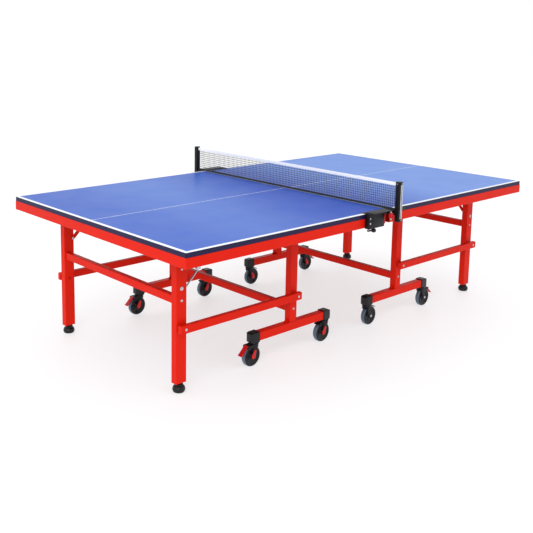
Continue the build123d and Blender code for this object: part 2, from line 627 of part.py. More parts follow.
# The net's two posts, each with an arm over its clamp and a tongue along the other half
arm_bottom = TABLE_HEIGHT + JAW_THICK + AIR
arm_edge = -EDGE_Y - TONGUE_OUT
lug_edge = arm_edge + TONGUE_THICK
post_face = -NET_POST_Y + NET_POST / 2
arm_wide = arm_edge + ARM_OVER - post_face
arm_mid_y = arm_edge + ARM_OVER - arm_wide / 2
tongue_mid_z = (TONGUE_TOP + TONGUE_BOTTOM) / 2
with BuildPart() as net_posts:
    for turn in (0.0, 180.0):
        with Locations(Location((0, 0, 0), (0, 0, turn))):
            with Locations((0, -NET_POST_Y, (NET_POST_BOTTOM + NET_POST_TOP) / 2)):
                Box(NET_POST, NET_POST, NET_POST_TOP - NET_POST_BOTTOM)
    fillet(net_posts.edges().filter_by(Axis.Z), NET_POST_CORNER)
    fillet(net_posts.faces().filter_by(Axis.Z).edges(), NET_POST_EASE)
    for turn in (0.0, 180.0):
        with Locations(Location((0, 0, 0), (0, 0, turn))):
            with Locations(((ARM_X[0] + ARM_X[1]) / 2, arm_mid_y, arm_bottom + ARM_THICK / 2)):
                Box(ARM_X[1] - ARM_X[0], arm_wide, ARM_THICK)
            with Locations((0.0, (lug_edge + post_face) / 2, (BAND_BOTTOM - AIR + TONGUE_BOTTOM) / 2)):
                Box(LUG_WIDE, lug_edge - post_face, BAND_BOTTOM - AIR - TONGUE_BOTTOM)
            with Locations(((TONGUE_X - LUG_WIDE / 2) / 2, arm_edge + TONGUE_THICK / 2, tongue_mid_z)):
                Box(TONGUE_X + LUG_WIDE / 2, TONGUE_THICK, TONGUE_TOP - TONGUE_BOTTOM)
            with Locations((KNOB_AT[0], KNOB_AT[1], (KNOB_Z[1] + arm_bottom) / 2)):
                Cylinder(KNOB_STEM_R, arm_bottom - KNOB_Z[1])
save(net_posts, "net_posts")

inner_net_y = NET_POST_Y - NET_POST / 2
with BuildPart() as net_mesh:
    mesh_low = BAND_BOTTOM + BAND_TALL
    mesh_high = NET_TOP - TAPE_TALL
    with Locations((0, 0, (mesh_low + mesh_high) / 2)):
        Box(MESH_THICK, 2 * inner_net_y, mesh_high - mesh_low)
save(net_mesh, "net_mesh")

with BuildPart() as net_bands:
    with Locations((0, 0, NET_TOP - TAPE_TALL / 2)):
        Box(BAND_THICK, 2 * inner_net_y, TAPE_TALL)
    with Locations((0, 0, BAND_BOTTOM + BAND_TALL / 2)):
        Box(BAND_THICK, 2 * inner_net_y, BAND_TALL)
save(net_bands, "net_bands")
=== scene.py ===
"""Looks for a roll-away table tennis table: two folding halves on wheeled T frames, with a net.

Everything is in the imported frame: metres, +X along the table, +Y across it, +Z up, with the
origin on the floor under the middle of the net. The code works in millimetres on the left half
and turns each piece half a turn about the vertical axis for the right half.
"""

import logging
import math
from dataclasses import dataclass, field
from enum import Enum
from typing import Any, Callable, Iterable, Sequence

import bpy
import numpy as np
from mathutils import Matrix, Vector


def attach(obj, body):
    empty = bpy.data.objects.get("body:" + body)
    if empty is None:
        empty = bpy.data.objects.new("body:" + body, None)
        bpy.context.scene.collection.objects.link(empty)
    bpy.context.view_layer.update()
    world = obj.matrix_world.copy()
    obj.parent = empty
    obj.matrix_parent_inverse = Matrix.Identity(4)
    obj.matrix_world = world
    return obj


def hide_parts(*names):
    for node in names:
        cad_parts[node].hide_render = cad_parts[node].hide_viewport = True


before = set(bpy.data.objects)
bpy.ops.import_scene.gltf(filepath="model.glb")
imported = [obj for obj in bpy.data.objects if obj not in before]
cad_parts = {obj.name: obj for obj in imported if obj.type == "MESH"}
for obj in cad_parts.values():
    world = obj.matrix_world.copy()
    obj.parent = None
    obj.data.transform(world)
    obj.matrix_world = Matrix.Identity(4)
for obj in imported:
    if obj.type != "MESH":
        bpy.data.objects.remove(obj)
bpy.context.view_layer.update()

logging.basicConfig(level=logging.INFO, format="%(message)s")
LOG = logging.getLogger("table")

MM = 0.001
Array = np.ndarray
Point = tuple[float, float, float]

LEG_X, POST_X, FRAME_Y = -1200.0, -450.0, 500.0
OUTER_FACE_Y, LINK_OUTER_Y = 520.0, 556.0
BAR_END_Y = 479.6  # where the crossbars' weld beads run
TOP_PIVOT_Z, LINK_PIVOT_Z = 650.0, 320.0
KNOB_X, KNOB_Y = -28.0, -805.0
SIDES = (-1.0, 1.0)
CROSSWISE = (0.0, 1.0, 0.0)
WHEEL_STEPS = 72
SENSOR_MM = 36.0


# Geometry


class Half(Enum):
    """The two halves of the table. The right one is the left one turned half a turn."""

    LEFT = 1.0
    RIGHT = -1.0

    @property
    def word(self) -> str:
        """The half's name in node and body names."""
        return self.name.lower()

    def place(self, y: float) -> str:
        """Which side of the table a piece drawn at this Y on the left half ends up on."""
        return "near" if (y < 0) == (self is Half.LEFT) else "far"


@dataclass
class Shell:
    """A closed surface in millimetres: its points, four-cornered faces and three-cornered faces."""

    points: Array
    quads: Array
    tris: Array

    def at(self, x: float = 0.0, y: float = 0.0, z: float = 0.0) -> "Shell":
        """The same surface moved by (x, y, z)."""
        return Shell(self.points + np.array([x, y, z]), self.quads, self.tris)

    def mirrored(self) -> "Shell":
        """The surface mirrored in Y, with its faces turned over so that they still point out."""
        flipped = self.points * np.array([1.0, -1.0, 1.0])
        return Shell(flipped, self.quads[:, ::-1], self.tris[:, ::-1])

    def repeated(self, offsets: Array) -> "Shell":
        """Copies of the surface, one at each offset.

        Args:
            offsets: One (x, y, z) per copy.

        Returns:
            All the copies as one surface: copy k's point i is point i plus offset k.
        """
        count = len(self.points)
        steps = np.arange(len(offsets))[:, None, None] * count
        points = (self.points[None] + np.asarray(offsets)[:, None]).reshape(-1, 3)
        quads = (self.quads[None] + steps).reshape(-1, 4)
        tris = (self.tris[None] + steps).reshape(-1, 3)
        return Shell(points, quads, tris)


def joined(shells: Sequence[Shell]) -> Shell:
    """Several surfaces as one, each later one's point numbers moved past the earlier ones'."""
    starts = np.cumsum([0] + [len(s.points) for s in shells[:-1]])
    return Shell(
        np.concatenate([s.points for s in shells]),
        np.concatenate([s.quads + k for s, k in zip(shells, starts)]),
        np.concatenate([s.tris + k for s, k in zip(shells, starts)]),
    )


def grid(points: Array, looped: bool = False) -> Shell:
    """Faces over a grid of rings.

    Row i of the grid is a ring of points, counter-clockwise seen from the last row. Each face
    joins a ring's neighbours j and j+1 to the same two of the next ring. A fan about each end
    ring's mean closes the ends, or the last ring joins the first if looped.

    Args:
        points: Rings as (rows, around, 3).
        looped: Whether the rows close on themselves.

    Returns:
        The closed surface, faces outwards.
    """
    rows, around = points.shape[:2]
    i = np.arange(rows if looped else rows - 1)[:, None]
    j = np.arange(around)[None, :]
    nxt, turn = (i + 1) % rows, (j + 1) % around
    quads = np.stack(
        [i * around + j, i * around + turn, nxt * around + turn, nxt * around + j], axis=-1
    ).reshape(-1, 4)
    flat = points.reshape(-1, 3)
    if looped:
        return Shell(flat, quads, np.zeros((0, 3), int))
    ring = np.arange(around)
    after = (ring + 1) % around
    base = np.full(around, rows * around)
    last = (rows - 1) * around
    tris = np.concatenate(
        [np.stack([base, after, ring], 1), np.stack([base + 1, last + ring, last + after], 1)]
    )
    return Shell(np.vstack([flat, points[0].mean(0), points[-1].mean(0)]), quads, tris)


def axes(along: Point, across: Point = (1.0, 0.0, 0.0)) -> Array:
    """Three unit rows: across, along x across, along."""
    a = np.asarray(along, float) / np.linalg.norm(along)
    c = np.asarray(across, float) - a * np.dot(across, a)
    c /= np.linalg.norm(c)
    return np.array([c, np.cross(a, c), a])


Outline = Callable[[float], Array]


def rounded(wide: float, tall: float, radius: float, steps: int = 5) -> Outline:
    """A rectangle with round corners: each corner is a quarter circle about a point set in by
    the radius. An inset shrinks the rectangle and its radius together."""

    def outline(inset: float) -> Array:
        r = max(radius - inset, 0.12)
        quarter = np.linspace(0.0, math.pi / 2, steps)
        angle = (np.arange(4)[:, None] * math.pi / 2 + quarter[None]).ravel()
        sx = np.repeat([1, -1, -1, 1], steps) * (wide / 2 - inset - r)
        sy = np.repeat([1, 1, -1, -1], steps) * (tall / 2 - inset - r)
        return np.stack([sx + r * np.cos(angle), sy + r * np.sin(angle)], 1)

    return outline


def circle(radius: float, steps: int = 36, lobes: int = 0, depth: float = 0.0) -> Outline:
    """A circle, or a knob's outline whose radius swells and dips by depth as cos(lobes x angle)."""

    def outline(inset: float) -> Array:
        angle = np.arange(steps) * 2 * math.pi / steps
        r = radius - inset + depth * np.cos(lobes * angle)
        return np.stack([r * np.cos(angle), r * np.sin(angle)], 1)

    return outline


def hexagon(radius: float) -> Outline:
    """A hexagon whose corners are at the radius, for nuts and bolt heads."""
    return circle(radius, 6)


def teardrop(r_one: float, r_two: float, apart: float, steps: int = 14) -> Outline:
    """Two circles in one outline: r_one about the origin and r_two at a distance along x, joined
    by their outer tangents, which leave both circles at the angle acos((r_one - r_two)/apart)."""

    def outline(inset: float) -> Array:
        beta = math.acos((r_one - r_two) / apart)
        tip = np.linspace(-beta, beta, steps)
        root = np.linspace(beta, 2 * math.pi - beta, steps)
        a, b = r_one - inset, r_two - inset
        far = np.stack([apart + b * np.cos(tip), b * np.sin(tip)], 1)
        near = np.stack([a * np.cos(root), a * np.sin(root)], 1)
        return np.concatenate([far, near])

    return outline


def prism(outline: Outline, start: Point, along: Point, long: float, ease: float = 0.8,
          across: Point = (1.0, 0.0, 0.0), steps: int = 3) -> Shell:
    """An outline carried straight, with its end edges eased by quarter circles.

    Near each end, at angle t of the quarter circle, the section is ease x (1 - cos t) from the
    end and drawn in by ease x (1 - sin t).

    Args:
        outline: The section for a given inset.
        start: Middle of the first end.
        along: Direction it is carried.
        long: Distance it is carried.
        ease: Radius of the end edges.
        across: Where the section's first axis points.
        steps: Sections in each quarter circle.

    Returns:
        The closed surface.
    """
    t = np.linspace(0.0, math.pi / 2, steps + 1)
    inset = ease * (1 - np.sin(t))
    near = ease * (1 - np.cos(t))
    depths = np.concatenate([near, long - near[::-1]])
    insets = np.concatenate([inset, inset[::-1]])
    basis = axes(along, across)
    rings = np.stack([outline(float(k)) for k in insets])
    points = rings @ basis[:2] + depths[:, None, None] * basis[2] + np.asarray(start)
    return grid(points)


def lathe(profile: Sequence[tuple[float, float]], start: Point, along: Point = (0.0, 0.0, 1.0),
          steps: int = 40, looped: bool = False) -> Shell:
    """A profile of (radius, height) pairs turned about an axis.

    The profile runs up the outside. Point (r, h) at angle a is r cos a across, r sin a square
    to that, and h along the axis.

    Args:
        profile: Radius and height pairs.
        start: Where height is nought, on the axis.
        along: The axis.
        steps: Points round the axis.
        looped: Whether the profile closes on itself, as in a tyre.

    Returns:
        The closed surface.
    """
    line = np.asarray(profile, float)
    angle = np.arange(steps) * 2 * math.pi / steps
    basis = axes(along, (1.0, 0.0, 0.0) if abs(along[0]) < 0.9 else (0.0, 0.0, 1.0))
    radial = np.cos(angle)[:, None] * basis[0] + np.sin(angle)[:, None] * basis[1]
    points = line[:, 0, None, None] * radial + line[:, 1, None, None] * basis[2]
    return grid(points + np.asarray(start), looped)


def arc(centre: tuple[float, float], radius: float, first: float, last: float,
        steps: int = 8) -> list[tuple[float, float]]:
    """Points on a circle between two angles in degrees."""
    t = np.radians(np.linspace(first, last, steps))
    return [(centre[0] + radius * math.cos(a), centre[1] + radius * math.sin(a)) for a in t]


def softened(corners: Sequence[Point], rounds: int = 2) -> Array:
    """A bent path: each round replaces every run's ends by the points a quarter in from them."""
    path = np.asarray(corners, float)
    for _ in range(rounds):
        low = 0.75 * path[:-1] + 0.25 * path[1:]
        high = 0.25 * path[:-1] + 0.75 * path[1:]
        middle = np.stack([low, high], 1).reshape(-1, 3)
        path = np.vstack([path[:1], middle, path[-1:]])
    return path


def carried(path: Array, sections: Array, side: Point, looped: bool = False) -> Shell:
    """Sections carried along a bent path that lies square to `side`.

    At each path point the section's first axis is `side` and its second is the path's direction
    crossed with it.

    Args:
        path: Points (rows, 3).
        sections: One outline for all rows (around, 2), or one for each (rows, around, 2).
        side: The first axis of every section.
        looped: Whether the path closes on itself.

    Returns:
        The closed surface.
    """
    if looped:
        way = np.roll(path, -1, 0) - np.roll(path, 1, 0)
    else:
        way = np.gradient(path, axis=0)
    way /= np.linalg.norm(way, axis=1, keepdims=True)
    first = np.broadcast_to(np.asarray(side, float), way.shape)
    second = np.cross(way, first)
    flat = np.broadcast_to(sections, (len(path),) + sections.shape[-2:])
    points = path[:, None] + flat[..., :1] * first[:, None] + flat[..., 1:] * second[:, None]
    return grid(points, looped)


def ring_seam(centre: Point, wide: float, tall: float, normal: Point, across: Point,
              radius: float = 2.2) -> Shell:
    """A weld bead round a rectangular joint.

    The path is the joint's rounded outline. The bead's radius ripples by a seventh every 4 mm
    along it, like the scales that a torch leaves.

    Args:
        centre: Middle of the joint.
        wide: Outline's size across.
        tall: Outline's other size.
        normal: Direction square to the joint.
        across: Direction of the first size.
        radius: Bead's mean radius.

    Returns:
        The closed ring.
    """
    corner = rounded(wide, tall, 3.5, 6)(0.0)
    edge = np.roll(corner, -1, 0) - corner
    length = np.linalg.norm(edge, axis=1)
    run = np.concatenate([[0.0], np.cumsum(length)])
    count = int(run[-1] / 1.3)
    s = np.arange(count) * run[-1] / count
    closed = np.vstack([corner, corner[:1]])
    flat = np.stack([np.interp(s, run, closed[:, k]) for k in (0, 1)], 1)
    basis = axes(normal, across)
    path = flat @ basis[:2] + np.asarray(centre)
    way = np.roll(path, -1, 0) - np.roll(path, 1, 0)
    way /= np.linalg.norm(way, axis=1, keepdims=True)
    out = np.cross(way, basis[2])
    size = radius * (1.0 + np.sin(2 * math.pi * s / 4.0) / 7.0)
    t = np.arange(8) * math.pi / 4
    ring = np.cos(t)[None, :, None] * out[:, None] - np.sin(t)[None, :, None] * basis[2]
    return grid(path[:, None] + size[:, None, None] * ring, True)


# Finishes


def linear(hex_colour: str) -> tuple[float, float, float, float]:
    """An sRGB hex colour as the linear numbers that shaders take."""
    values = [int(hex_colour[k:k + 2], 16) / 255 for k in (1, 3, 5)]
    flat = [v / 12.92 if v <= 0.04045 else ((v + 0.055) / 1.055) ** 2.4 for v in values]
    return (flat[0], flat[1], flat[2], 1.0)


def add_node(tree: bpy.types.NodeTree, kind: str, sockets: dict[Any, Any] | None = None,
             **settings: Any) -> bpy.types.Node:
    """Adds a shader node.

    Args:
        tree: Node tree it goes in.
        kind: The node's type.
        sockets: For each input, an output to link it to or a value to set.
        **settings: The node's own settings.

    Returns:
        The node.
    """
    node = tree.nodes.new(kind)
    for name, value in settings.items():
        setattr(node, name, value)
    for name, value in (sockets or {}).items():
        if isinstance(value, bpy.types.NodeSocket):
            tree.links.new(value, node.inputs[name])
        else:
            node.inputs[name].default_value = value
    return node


def per_metre(size_mm: float) -> float:
    """The texture scale that gives features of this size."""
    return 1.0 / (size_mm * MM)


@dataclass(frozen=True)
class Finish:
    """A surface finish: two near colours in soft patches, varied gloss and a fine relief."""

    name: str
    colour: str
    second: str
    roughness: float
    spread: float = 0.06  # how far the roughness strays
    metallic: float = 0.0
    patch_mm: float = 40.0
    grain_mm: float = 1.5
    relief: float = 0.05
    depth_mm: float = 0.1
    specular: float = 0.5
    sheen: float = 0.0

    def colour_socket(self, tree: bpy.types.NodeTree, place: Any) -> bpy.types.NodeSocket:
        """The colour: the second colour shows through the first in soft patches."""
        patches = add_node(tree, "ShaderNodeTexNoise",
                           {"Vector": place, "Scale": per_metre(self.patch_mm), "Detail": 4.0})
        mix = add_node(tree, "ShaderNodeMix",
                       {0: patches.outputs[0], 6: linear(self.colour), 7: linear(self.second)},
                       data_type="RGBA")
        return mix.outputs[2]

    def height_socket(self, tree: bpy.types.NodeTree, place: Any) -> bpy.types.NodeSocket:
        """The relief's height: fine noise as coarse as the grain."""
        grain = add_node(tree, "ShaderNodeTexNoise",
                         {"Vector": place, "Scale": per_metre(self.grain_mm), "Detail": 2.0})
        return grain.outputs[0]

    def make(self) -> bpy.types.Material:
        """The material, made on first use."""
        found = bpy.data.materials.get(self.name)
        if found is not None:
            return found
        material = bpy.data.materials.new(self.name)
        material.use_nodes = True
        tree = material.node_tree
        tree.nodes.clear()
        place = add_node(tree, "ShaderNodeTexCoord").outputs["Object"]
        wear = add_node(tree, "ShaderNodeTexNoise",
                        {"Vector": place, "Scale": per_metre(self.patch_mm * 0.6), "Detail": 3.0})
        gloss = add_node(tree, "ShaderNodeMapRange",
                         {"Value": wear.outputs[0], 1: 0.3, 2: 0.7,
                          3: self.roughness - self.spread, 4: self.roughness + self.spread})
        bump = add_node(tree, "ShaderNodeBump",
                        {"Height": self.height_socket(tree, place), "Strength": self.relief,
                         "Distance": self.depth_mm * MM})
        shader = add_node(tree, "ShaderNodeBsdfPrincipled", {
            "Base Color": self.colour_socket(tree, place),
            "Roughness": gloss.outputs[0],
            "Normal": bump.outputs[0],
            "Metallic": self.metallic,
            "Specular IOR Level": self.specular,
            "Sheen Weight": self.sheen,
        })
        add_node(tree, "ShaderNodeOutputMaterial", {"Surface": shader.outputs[0]})
        return material


@dataclass(frozen=True)
class PaintedBoard(Finish):
    """Rolled satin lacquer with white court lines, and a dark sealed edge under it.

    The lines are 17 mm wide along the ends and sides and 4 mm down the middle. The eye sees a
    deep blue that pales slowly along the board, which is a painted sheen standing for the
    lacquer's reflection, and crisp lines; the grey-blue band along the net edge is a painted
    highlight. A sheen fade runs from one place to another along the table, in metres, and from
    one share of the painted sheen colour to another. The end fade's shares are how much of the
    left fade is kept."""

    line: str = "#f4f6fa"
    # Painted highlight: a grey-blue band along the board's edge at the net, where that edge catches
    # the light.
    net_edge_highlight: str = "#8e9cc2"
    edge: str = "#1a123c"
    # Painted sheen: the pale blue that the board's blue fades to away from the net.
    pale: str = "#6a93e0"
    left_sheen_fade: tuple[float, float, float, float] = (-0.02, -0.85, 0.0, 0.55)
    right_sheen_fade: tuple[float, float, float, float] = (-0.1, 0.7, 0.0, 0.9)
    end_sheen_fade: tuple[float, float, float, float] = (-0.6, -1.3, 1.0, 0.45)
    sheen_lean: float = -0.3  # how much the left painted-sheen fade leans with y
    half_long_mm: float = 1370.0
    half_wide_mm: float = 762.5
    border_mm: float = 17.0
    centre_mm: float = 4.0
    top_mm: float = 758.4
    net_edge_highlight_mm: float = 9.0

    def colour_socket(self, tree: bpy.types.NodeTree, place: Any) -> bpy.types.NodeSocket:
        """Blue that pales away from the net, slowly on the left half and soon on the right: a
        painted sheen that stands for the lacquer's reflection. The left half pales most along its
        far side, at -x + 0.3 y, and deepens a little again at its end. Each painted band is mixed
        over the blue where a coordinate passes its limit; the band along the net edge is a
        painted highlight."""
        axis = add_node(tree, "ShaderNodeSeparateXYZ", {0: place}).outputs
        x, y = (add_node(tree, "ShaderNodeMath", {0: axis[k]}, operation="ABSOLUTE").outputs[0]
                for k in (0, 1))
        slant = add_node(tree, "ShaderNodeMath", {0: axis[1], 1: self.sheen_lean, 2: axis[0]},
                         operation="MULTIPLY_ADD").outputs[0]
        fades = ((slant, self.left_sheen_fade), (axis[0], self.right_sheen_fade), (axis[0], self.end_sheen_fade))
        left, right, end = (
            add_node(tree, "ShaderNodeMapRange", {"Value": value, **dict(enumerate(fade, 1))},
                     interpolation_type="SMOOTHSTEP").outputs[0]
            for value, fade in fades)
        # How far the painted sheen pales the blue at each place.
        kept = add_node(tree, "ShaderNodeMath", {0: left, 1: end}, operation="MULTIPLY")
        painted_sheen = add_node(tree, "ShaderNodeMath", {0: kept.outputs[0], 1: right},
                         operation="MAXIMUM")
        # Mixes the painted sheen colour over the blue.
        fade = add_node(tree, "ShaderNodeMix",
                        {0: painted_sheen.outputs[0], 6: super().colour_socket(tree, place),
                         7: linear(self.pale)}, data_type="RGBA")
        colour = fade.outputs[2]
        bands = (
            # painted highlight along the board's edge at the net
            (x, "LESS_THAN", self.net_edge_highlight_mm, self.net_edge_highlight),
            (y, "LESS_THAN", self.centre_mm / 2, self.line),
            (x, "GREATER_THAN", self.half_long_mm - self.border_mm, self.line),
            (y, "GREATER_THAN", self.half_wide_mm - self.border_mm, self.line),
            (axis[2], "LESS_THAN", self.top_mm, self.edge),
        )
        for value, test, limit, paint in bands:
            on = add_node(tree, "ShaderNodeMath", {0: value, 1: limit * MM}, operation=test)
            mix = add_node(tree, "ShaderNodeMix",
                           {0: on.outputs[0], 6: colour, 7: linear(paint)}, data_type="RGBA")
            colour = mix.outputs[2]
        return colour


@dataclass(frozen=True)
class Woven(Finish):
    """Plain-woven tape: threads cross over and under, drawn at the thread spacing."""

    thread_mm: float = 1.2

    def height_socket(self, tree: bpy.types.NodeTree, place: Any) -> bpy.types.NodeSocket:
        """Two sets of bands at right angles, multiplied, as threads that cross."""
        waves = [
            add_node(tree, "ShaderNodeTexWave",
                     {"Vector": place, "Scale": per_metre(self.thread_mm) / 6.3,
                      "Distortion": 0.6}, bands_direction=way).outputs[1]
            for way in ("Y", "Z")
        ]
        return add_node(tree, "ShaderNodeMath", {0: waves[0], 1: waves[1]},
                        operation="MULTIPLY").outputs[0]


# Polyester powder coat, baked: an even orange-red with a soft gloss and a faint orange peel.
RED_COAT = Finish("red_powder_coat", "#da1f08", "#d21a06", 0.34, grain_mm=2.2, relief=0.06,
                  patch_mm=120.0, specular=0.08)
# The same coat over a bead, a little darker where the torch's heat left it uneven.
WELD_COAT = Finish("red_coated_weld", "#dd220f", "#b91a0c", 0.42, patch_mm=9.0, grain_mm=1.2,
                   relief=0.15, specular=0.08)
# Satin lacquer rolled on board: deep blue with a low even sheen, paled away from the net by a
# painted sheen.
BLUE_BOARD = PaintedBoard("blue_court_lacquer", "#0447b6", "#084cbc", 0.42, spread=0.03,
                          patch_mm=260.0, grain_mm=1.8, relief=0.03, specular=0.2)
# Injection-moulded nylon: near black, satin, with a spark-eroded grain.
BLACK_NYLON = Finish("moulded_black_nylon", "#0e1013", "#16181c", 0.40, grain_mm=0.9, relief=0.12,
                     patch_mm=25.0, specular=0.3)
# Pressed steel under black powder coat: a purplish near-black, slightly glossier than the nylon.
BLACK_STEEL = Finish("black_coated_steel", "#0b0a0e", "#131117", 0.34, grain_mm=1.4, relief=0.06,
                     patch_mm=30.0, specular=0.22)
# Hot-pressed rubber of the feet and tyres: near black, with a low sheen.
RUBBER = Finish("moulded_rubber", "#0b0b0d", "#141416", 0.36, grain_mm=1.1, relief=0.1,
                patch_mm=20.0, specular=0.3)
# Thermoplastic rubber tread: blue-grey, polished where it rolls. Its blue-grey is partly the
# tread's own tone and partly a painted highlight that lightens it all round.
TYRE = Finish("blue_grey_tread_rubber", "#3c4d60", "#4c6074", 0.30, grain_mm=1.3, relief=0.08,
              patch_mm=14.0, specular=0.6)
# Bright zinc plate: cool grey metal with cloudy patches.
ZINC = Finish("bright_zinc_plate", "#c9ccd2", "#b4b8c0", 0.30, metallic=1.0, patch_mm=6.0,
              grain_mm=1.0, relief=0.05)
# Glossy moulded acetal in signal red, for the brake levers, hub covers and tension knobs.
RED_ACETAL = Finish("moulded_red_acetal", "#c41116", "#b60c12", 0.28, specular=0.3,
                    grain_mm=1.6, relief=0.04, patch_mm=12.0)
# Pale satin metal, for the two strips down each net post's outer face, which are painted
# highlights.
POST_HIGHLIGHT_METAL = Finish("anodised_aluminium", "#f2f4f4", "#e4e8ea", 0.34, metallic=0.4, patch_mm=8.0,
                   grain_mm=0.8, relief=0.06)
# Twisted nylon cord: soft near-black blue.
NET_CORD = Finish("black_nylon_cord", "#15171f", "#20232e", 0.6, grain_mm=0.8, relief=0.3,
                  patch_mm=20.0, sheen=0.2)
# Folded cotton tape: bright white cloth with a fine weave.
WHITE_TAPE = Woven("white_cotton_tape", "#fdfdfc", "#f6f7f8", 0.75, relief=0.35, depth_mm=0.3,
                   patch_mm=30.0, sheen=0.2)
# Black woven band along the foot of the net.
BLACK_BAND = Woven("black_woven_band", "#121318", "#1b1d24", 0.7, relief=0.35, depth_mm=0.3,
                   patch_mm=30.0, sheen=0.2)


# Pieces


def put(name: str, parts: Iterable[tuple[Shell, Finish]], half: Half, body: str,
        replaced: Sequence[str] = (), slot: str | None = None,
        sharp: float = 40.0) -> bpy.types.Object:
    """Makes a piece from its surfaces.

    Args:
        name: The piece's name.
        parts: Surfaces on the left half, each with its finish.
        half: The half it belongs to.
        body: The CAD body that it moves with.
        replaced: The CAD nodes that it stands for.
        slot: Not used.
        sharp: Edges folded more than this many degrees stay crisp.

    Returns:
        The object, at the origin with its place in its mesh.
    """
    pairs = list(parts)
    finishes = list(dict.fromkeys(finish for _, finish in pairs))
    whole = joined([shell for shell, _ in pairs])
    turn = np.array([half.value, half.value, 1.0]) * MM
    mesh = bpy.data.meshes.new(name)
    mesh.from_pydata((whole.points * turn).tolist(), [], whole.quads.tolist() + whole.tris.tolist())
    index = [np.full(len(s.quads), finishes.index(f)) for s, f in pairs]
    index += [np.full(len(s.tris), finishes.index(f)) for s, f in pairs]
    mesh.polygons.foreach_set("material_index", np.concatenate(index).astype(np.int32))
    mesh.polygons.foreach_set("use_smooth", np.ones(len(mesh.polygons), bool))
    for finish in finishes:
        mesh.materials.append(finish.make())
    mesh.update()
    mesh.set_sharp_from_angle(angle=math.radians(sharp))
    piece = bpy.data.objects.new(name, mesh)
    bpy.context.scene.collection.objects.link(piece)
    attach(piece, body)
    if replaced:
        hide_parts(*replaced)
    LOG.info("%s: %d points, %d faces", name, len(mesh.vertices), len(mesh.polygons))
    return piece


def dress(node: str, finish: Finish) -> None:
    """Gives a CAD node a finish in place of the plain one it came with."""
    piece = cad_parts[node]
    for place in piece.material_slots:
        place.material = finish.make()
    LOG.info("%s: dressed in %s", node, finish.name)


class Head(Enum):
    """How a bolt shows on the outside of a joint."""

    HEX = "hexagon head on a washer"
    DOME = "low round head"
    NUT = "nut on a thread"


@dataclass(frozen=True)
class Bolt:
    """One end of a bolt across the table: a washer and a head, nut or dome."""

    x: float
    y: float
    z: float
    out: float  # +1 or -1, the side it faces
    radius: float
    head: Head = Head.HEX

    def parts(self) -> list[tuple[Shell, Finish]]:
        """The washer, then the head on it, both eased at their edges."""
        way = (0.0, self.out, 0.0)
        washer = prism(circle(self.radius), (self.x, self.y, self.z), way, 1.6, 0.5)
        foot = (self.x, self.y + 1.5 * self.out, self.z)
        if self.head is Head.DOME:
            r = self.radius * 0.86
            dome = [(r, 0.0), (r, 0.8)] + arc((0.0, 0.8 - r), r * 1.41, 45, 84, 7)
            return [(washer, ZINC), (lathe(dome, foot, way, 28), ZINC)]
        parts = [(washer, ZINC), (prism(hexagon(self.radius * 0.72), foot, way, 3.4, 0.7), ZINC)]
        if self.head is Head.NUT:
            parts.append((thread(foot, way, self.radius * 0.42, 4.8), ZINC))
        return parts


def thread(start: Point, way: Point, radius: float, long: float, pitch: float = 1.5) -> Shell:
    """A threaded end: the radius dips by a tenth once each pitch along it."""
    h = np.linspace(0.0, long, max(int(long / pitch * 4), 4))
    r = radius * (1.0 - 0.1 * (0.5 + 0.5 * np.cos(2 * math.pi * h / pitch)))
    return lathe(list(zip(r.tolist(), h.tolist())), start, way, 20)


def pin(start: Point, side: float, radius: float, long: float,
        ease: float = 0.4) -> tuple[Shell, Finish]:
    """A zinc pin across the table, from its start towards the side given."""
    return prism(circle(radius), start, (0.0, side, 0.0), long, ease), ZINC


def link_pivot(x: float, side: float, shank_ease: float = 0.5,
               spacer_ease: float = 0.5) -> list[tuple[Shell, Finish]]:
    """A link bar's pivot: its head outside the bar, then its shank and the spacer behind it.

    Args:
        x: Its place along the table.
        side: +1 or -1, the side of the frame it is on.
        shank_ease: Radius of the shank's end edges.
        spacer_ease: Radius of the spacer's end edges.

    Returns:
        The surfaces, each with its finish.
    """
    head = Bolt(x, side * (LINK_OUTER_Y + 0.3), LINK_PIVOT_Z, side, 7.0, Head.DOME)
    shank = pin((x, side * (OUTER_FACE_Y - 8.0), LINK_PIVOT_Z), side, 5.0, 44.3, shank_ease)
    spacer = pin((x, side * OUTER_FACE_Y, LINK_PIVOT_Z), side, 9.0, 10.7, spacer_ease)
    return head.parts() + [shank, spacer]


def bar_seams(x: float, z: float, bar: tuple[float, float]) -> list[tuple[Shell, Finish]]:
    """Weld beads round a crossbar's two ends, where it meets the uprights."""
    return [(ring_seam((x, side * BAR_END_Y, z), bar[0] + 0.6, bar[1] + 0.6, (0, -side, 0),
                       (1, 0, 0)), WELD_COAT) for side in SIDES]


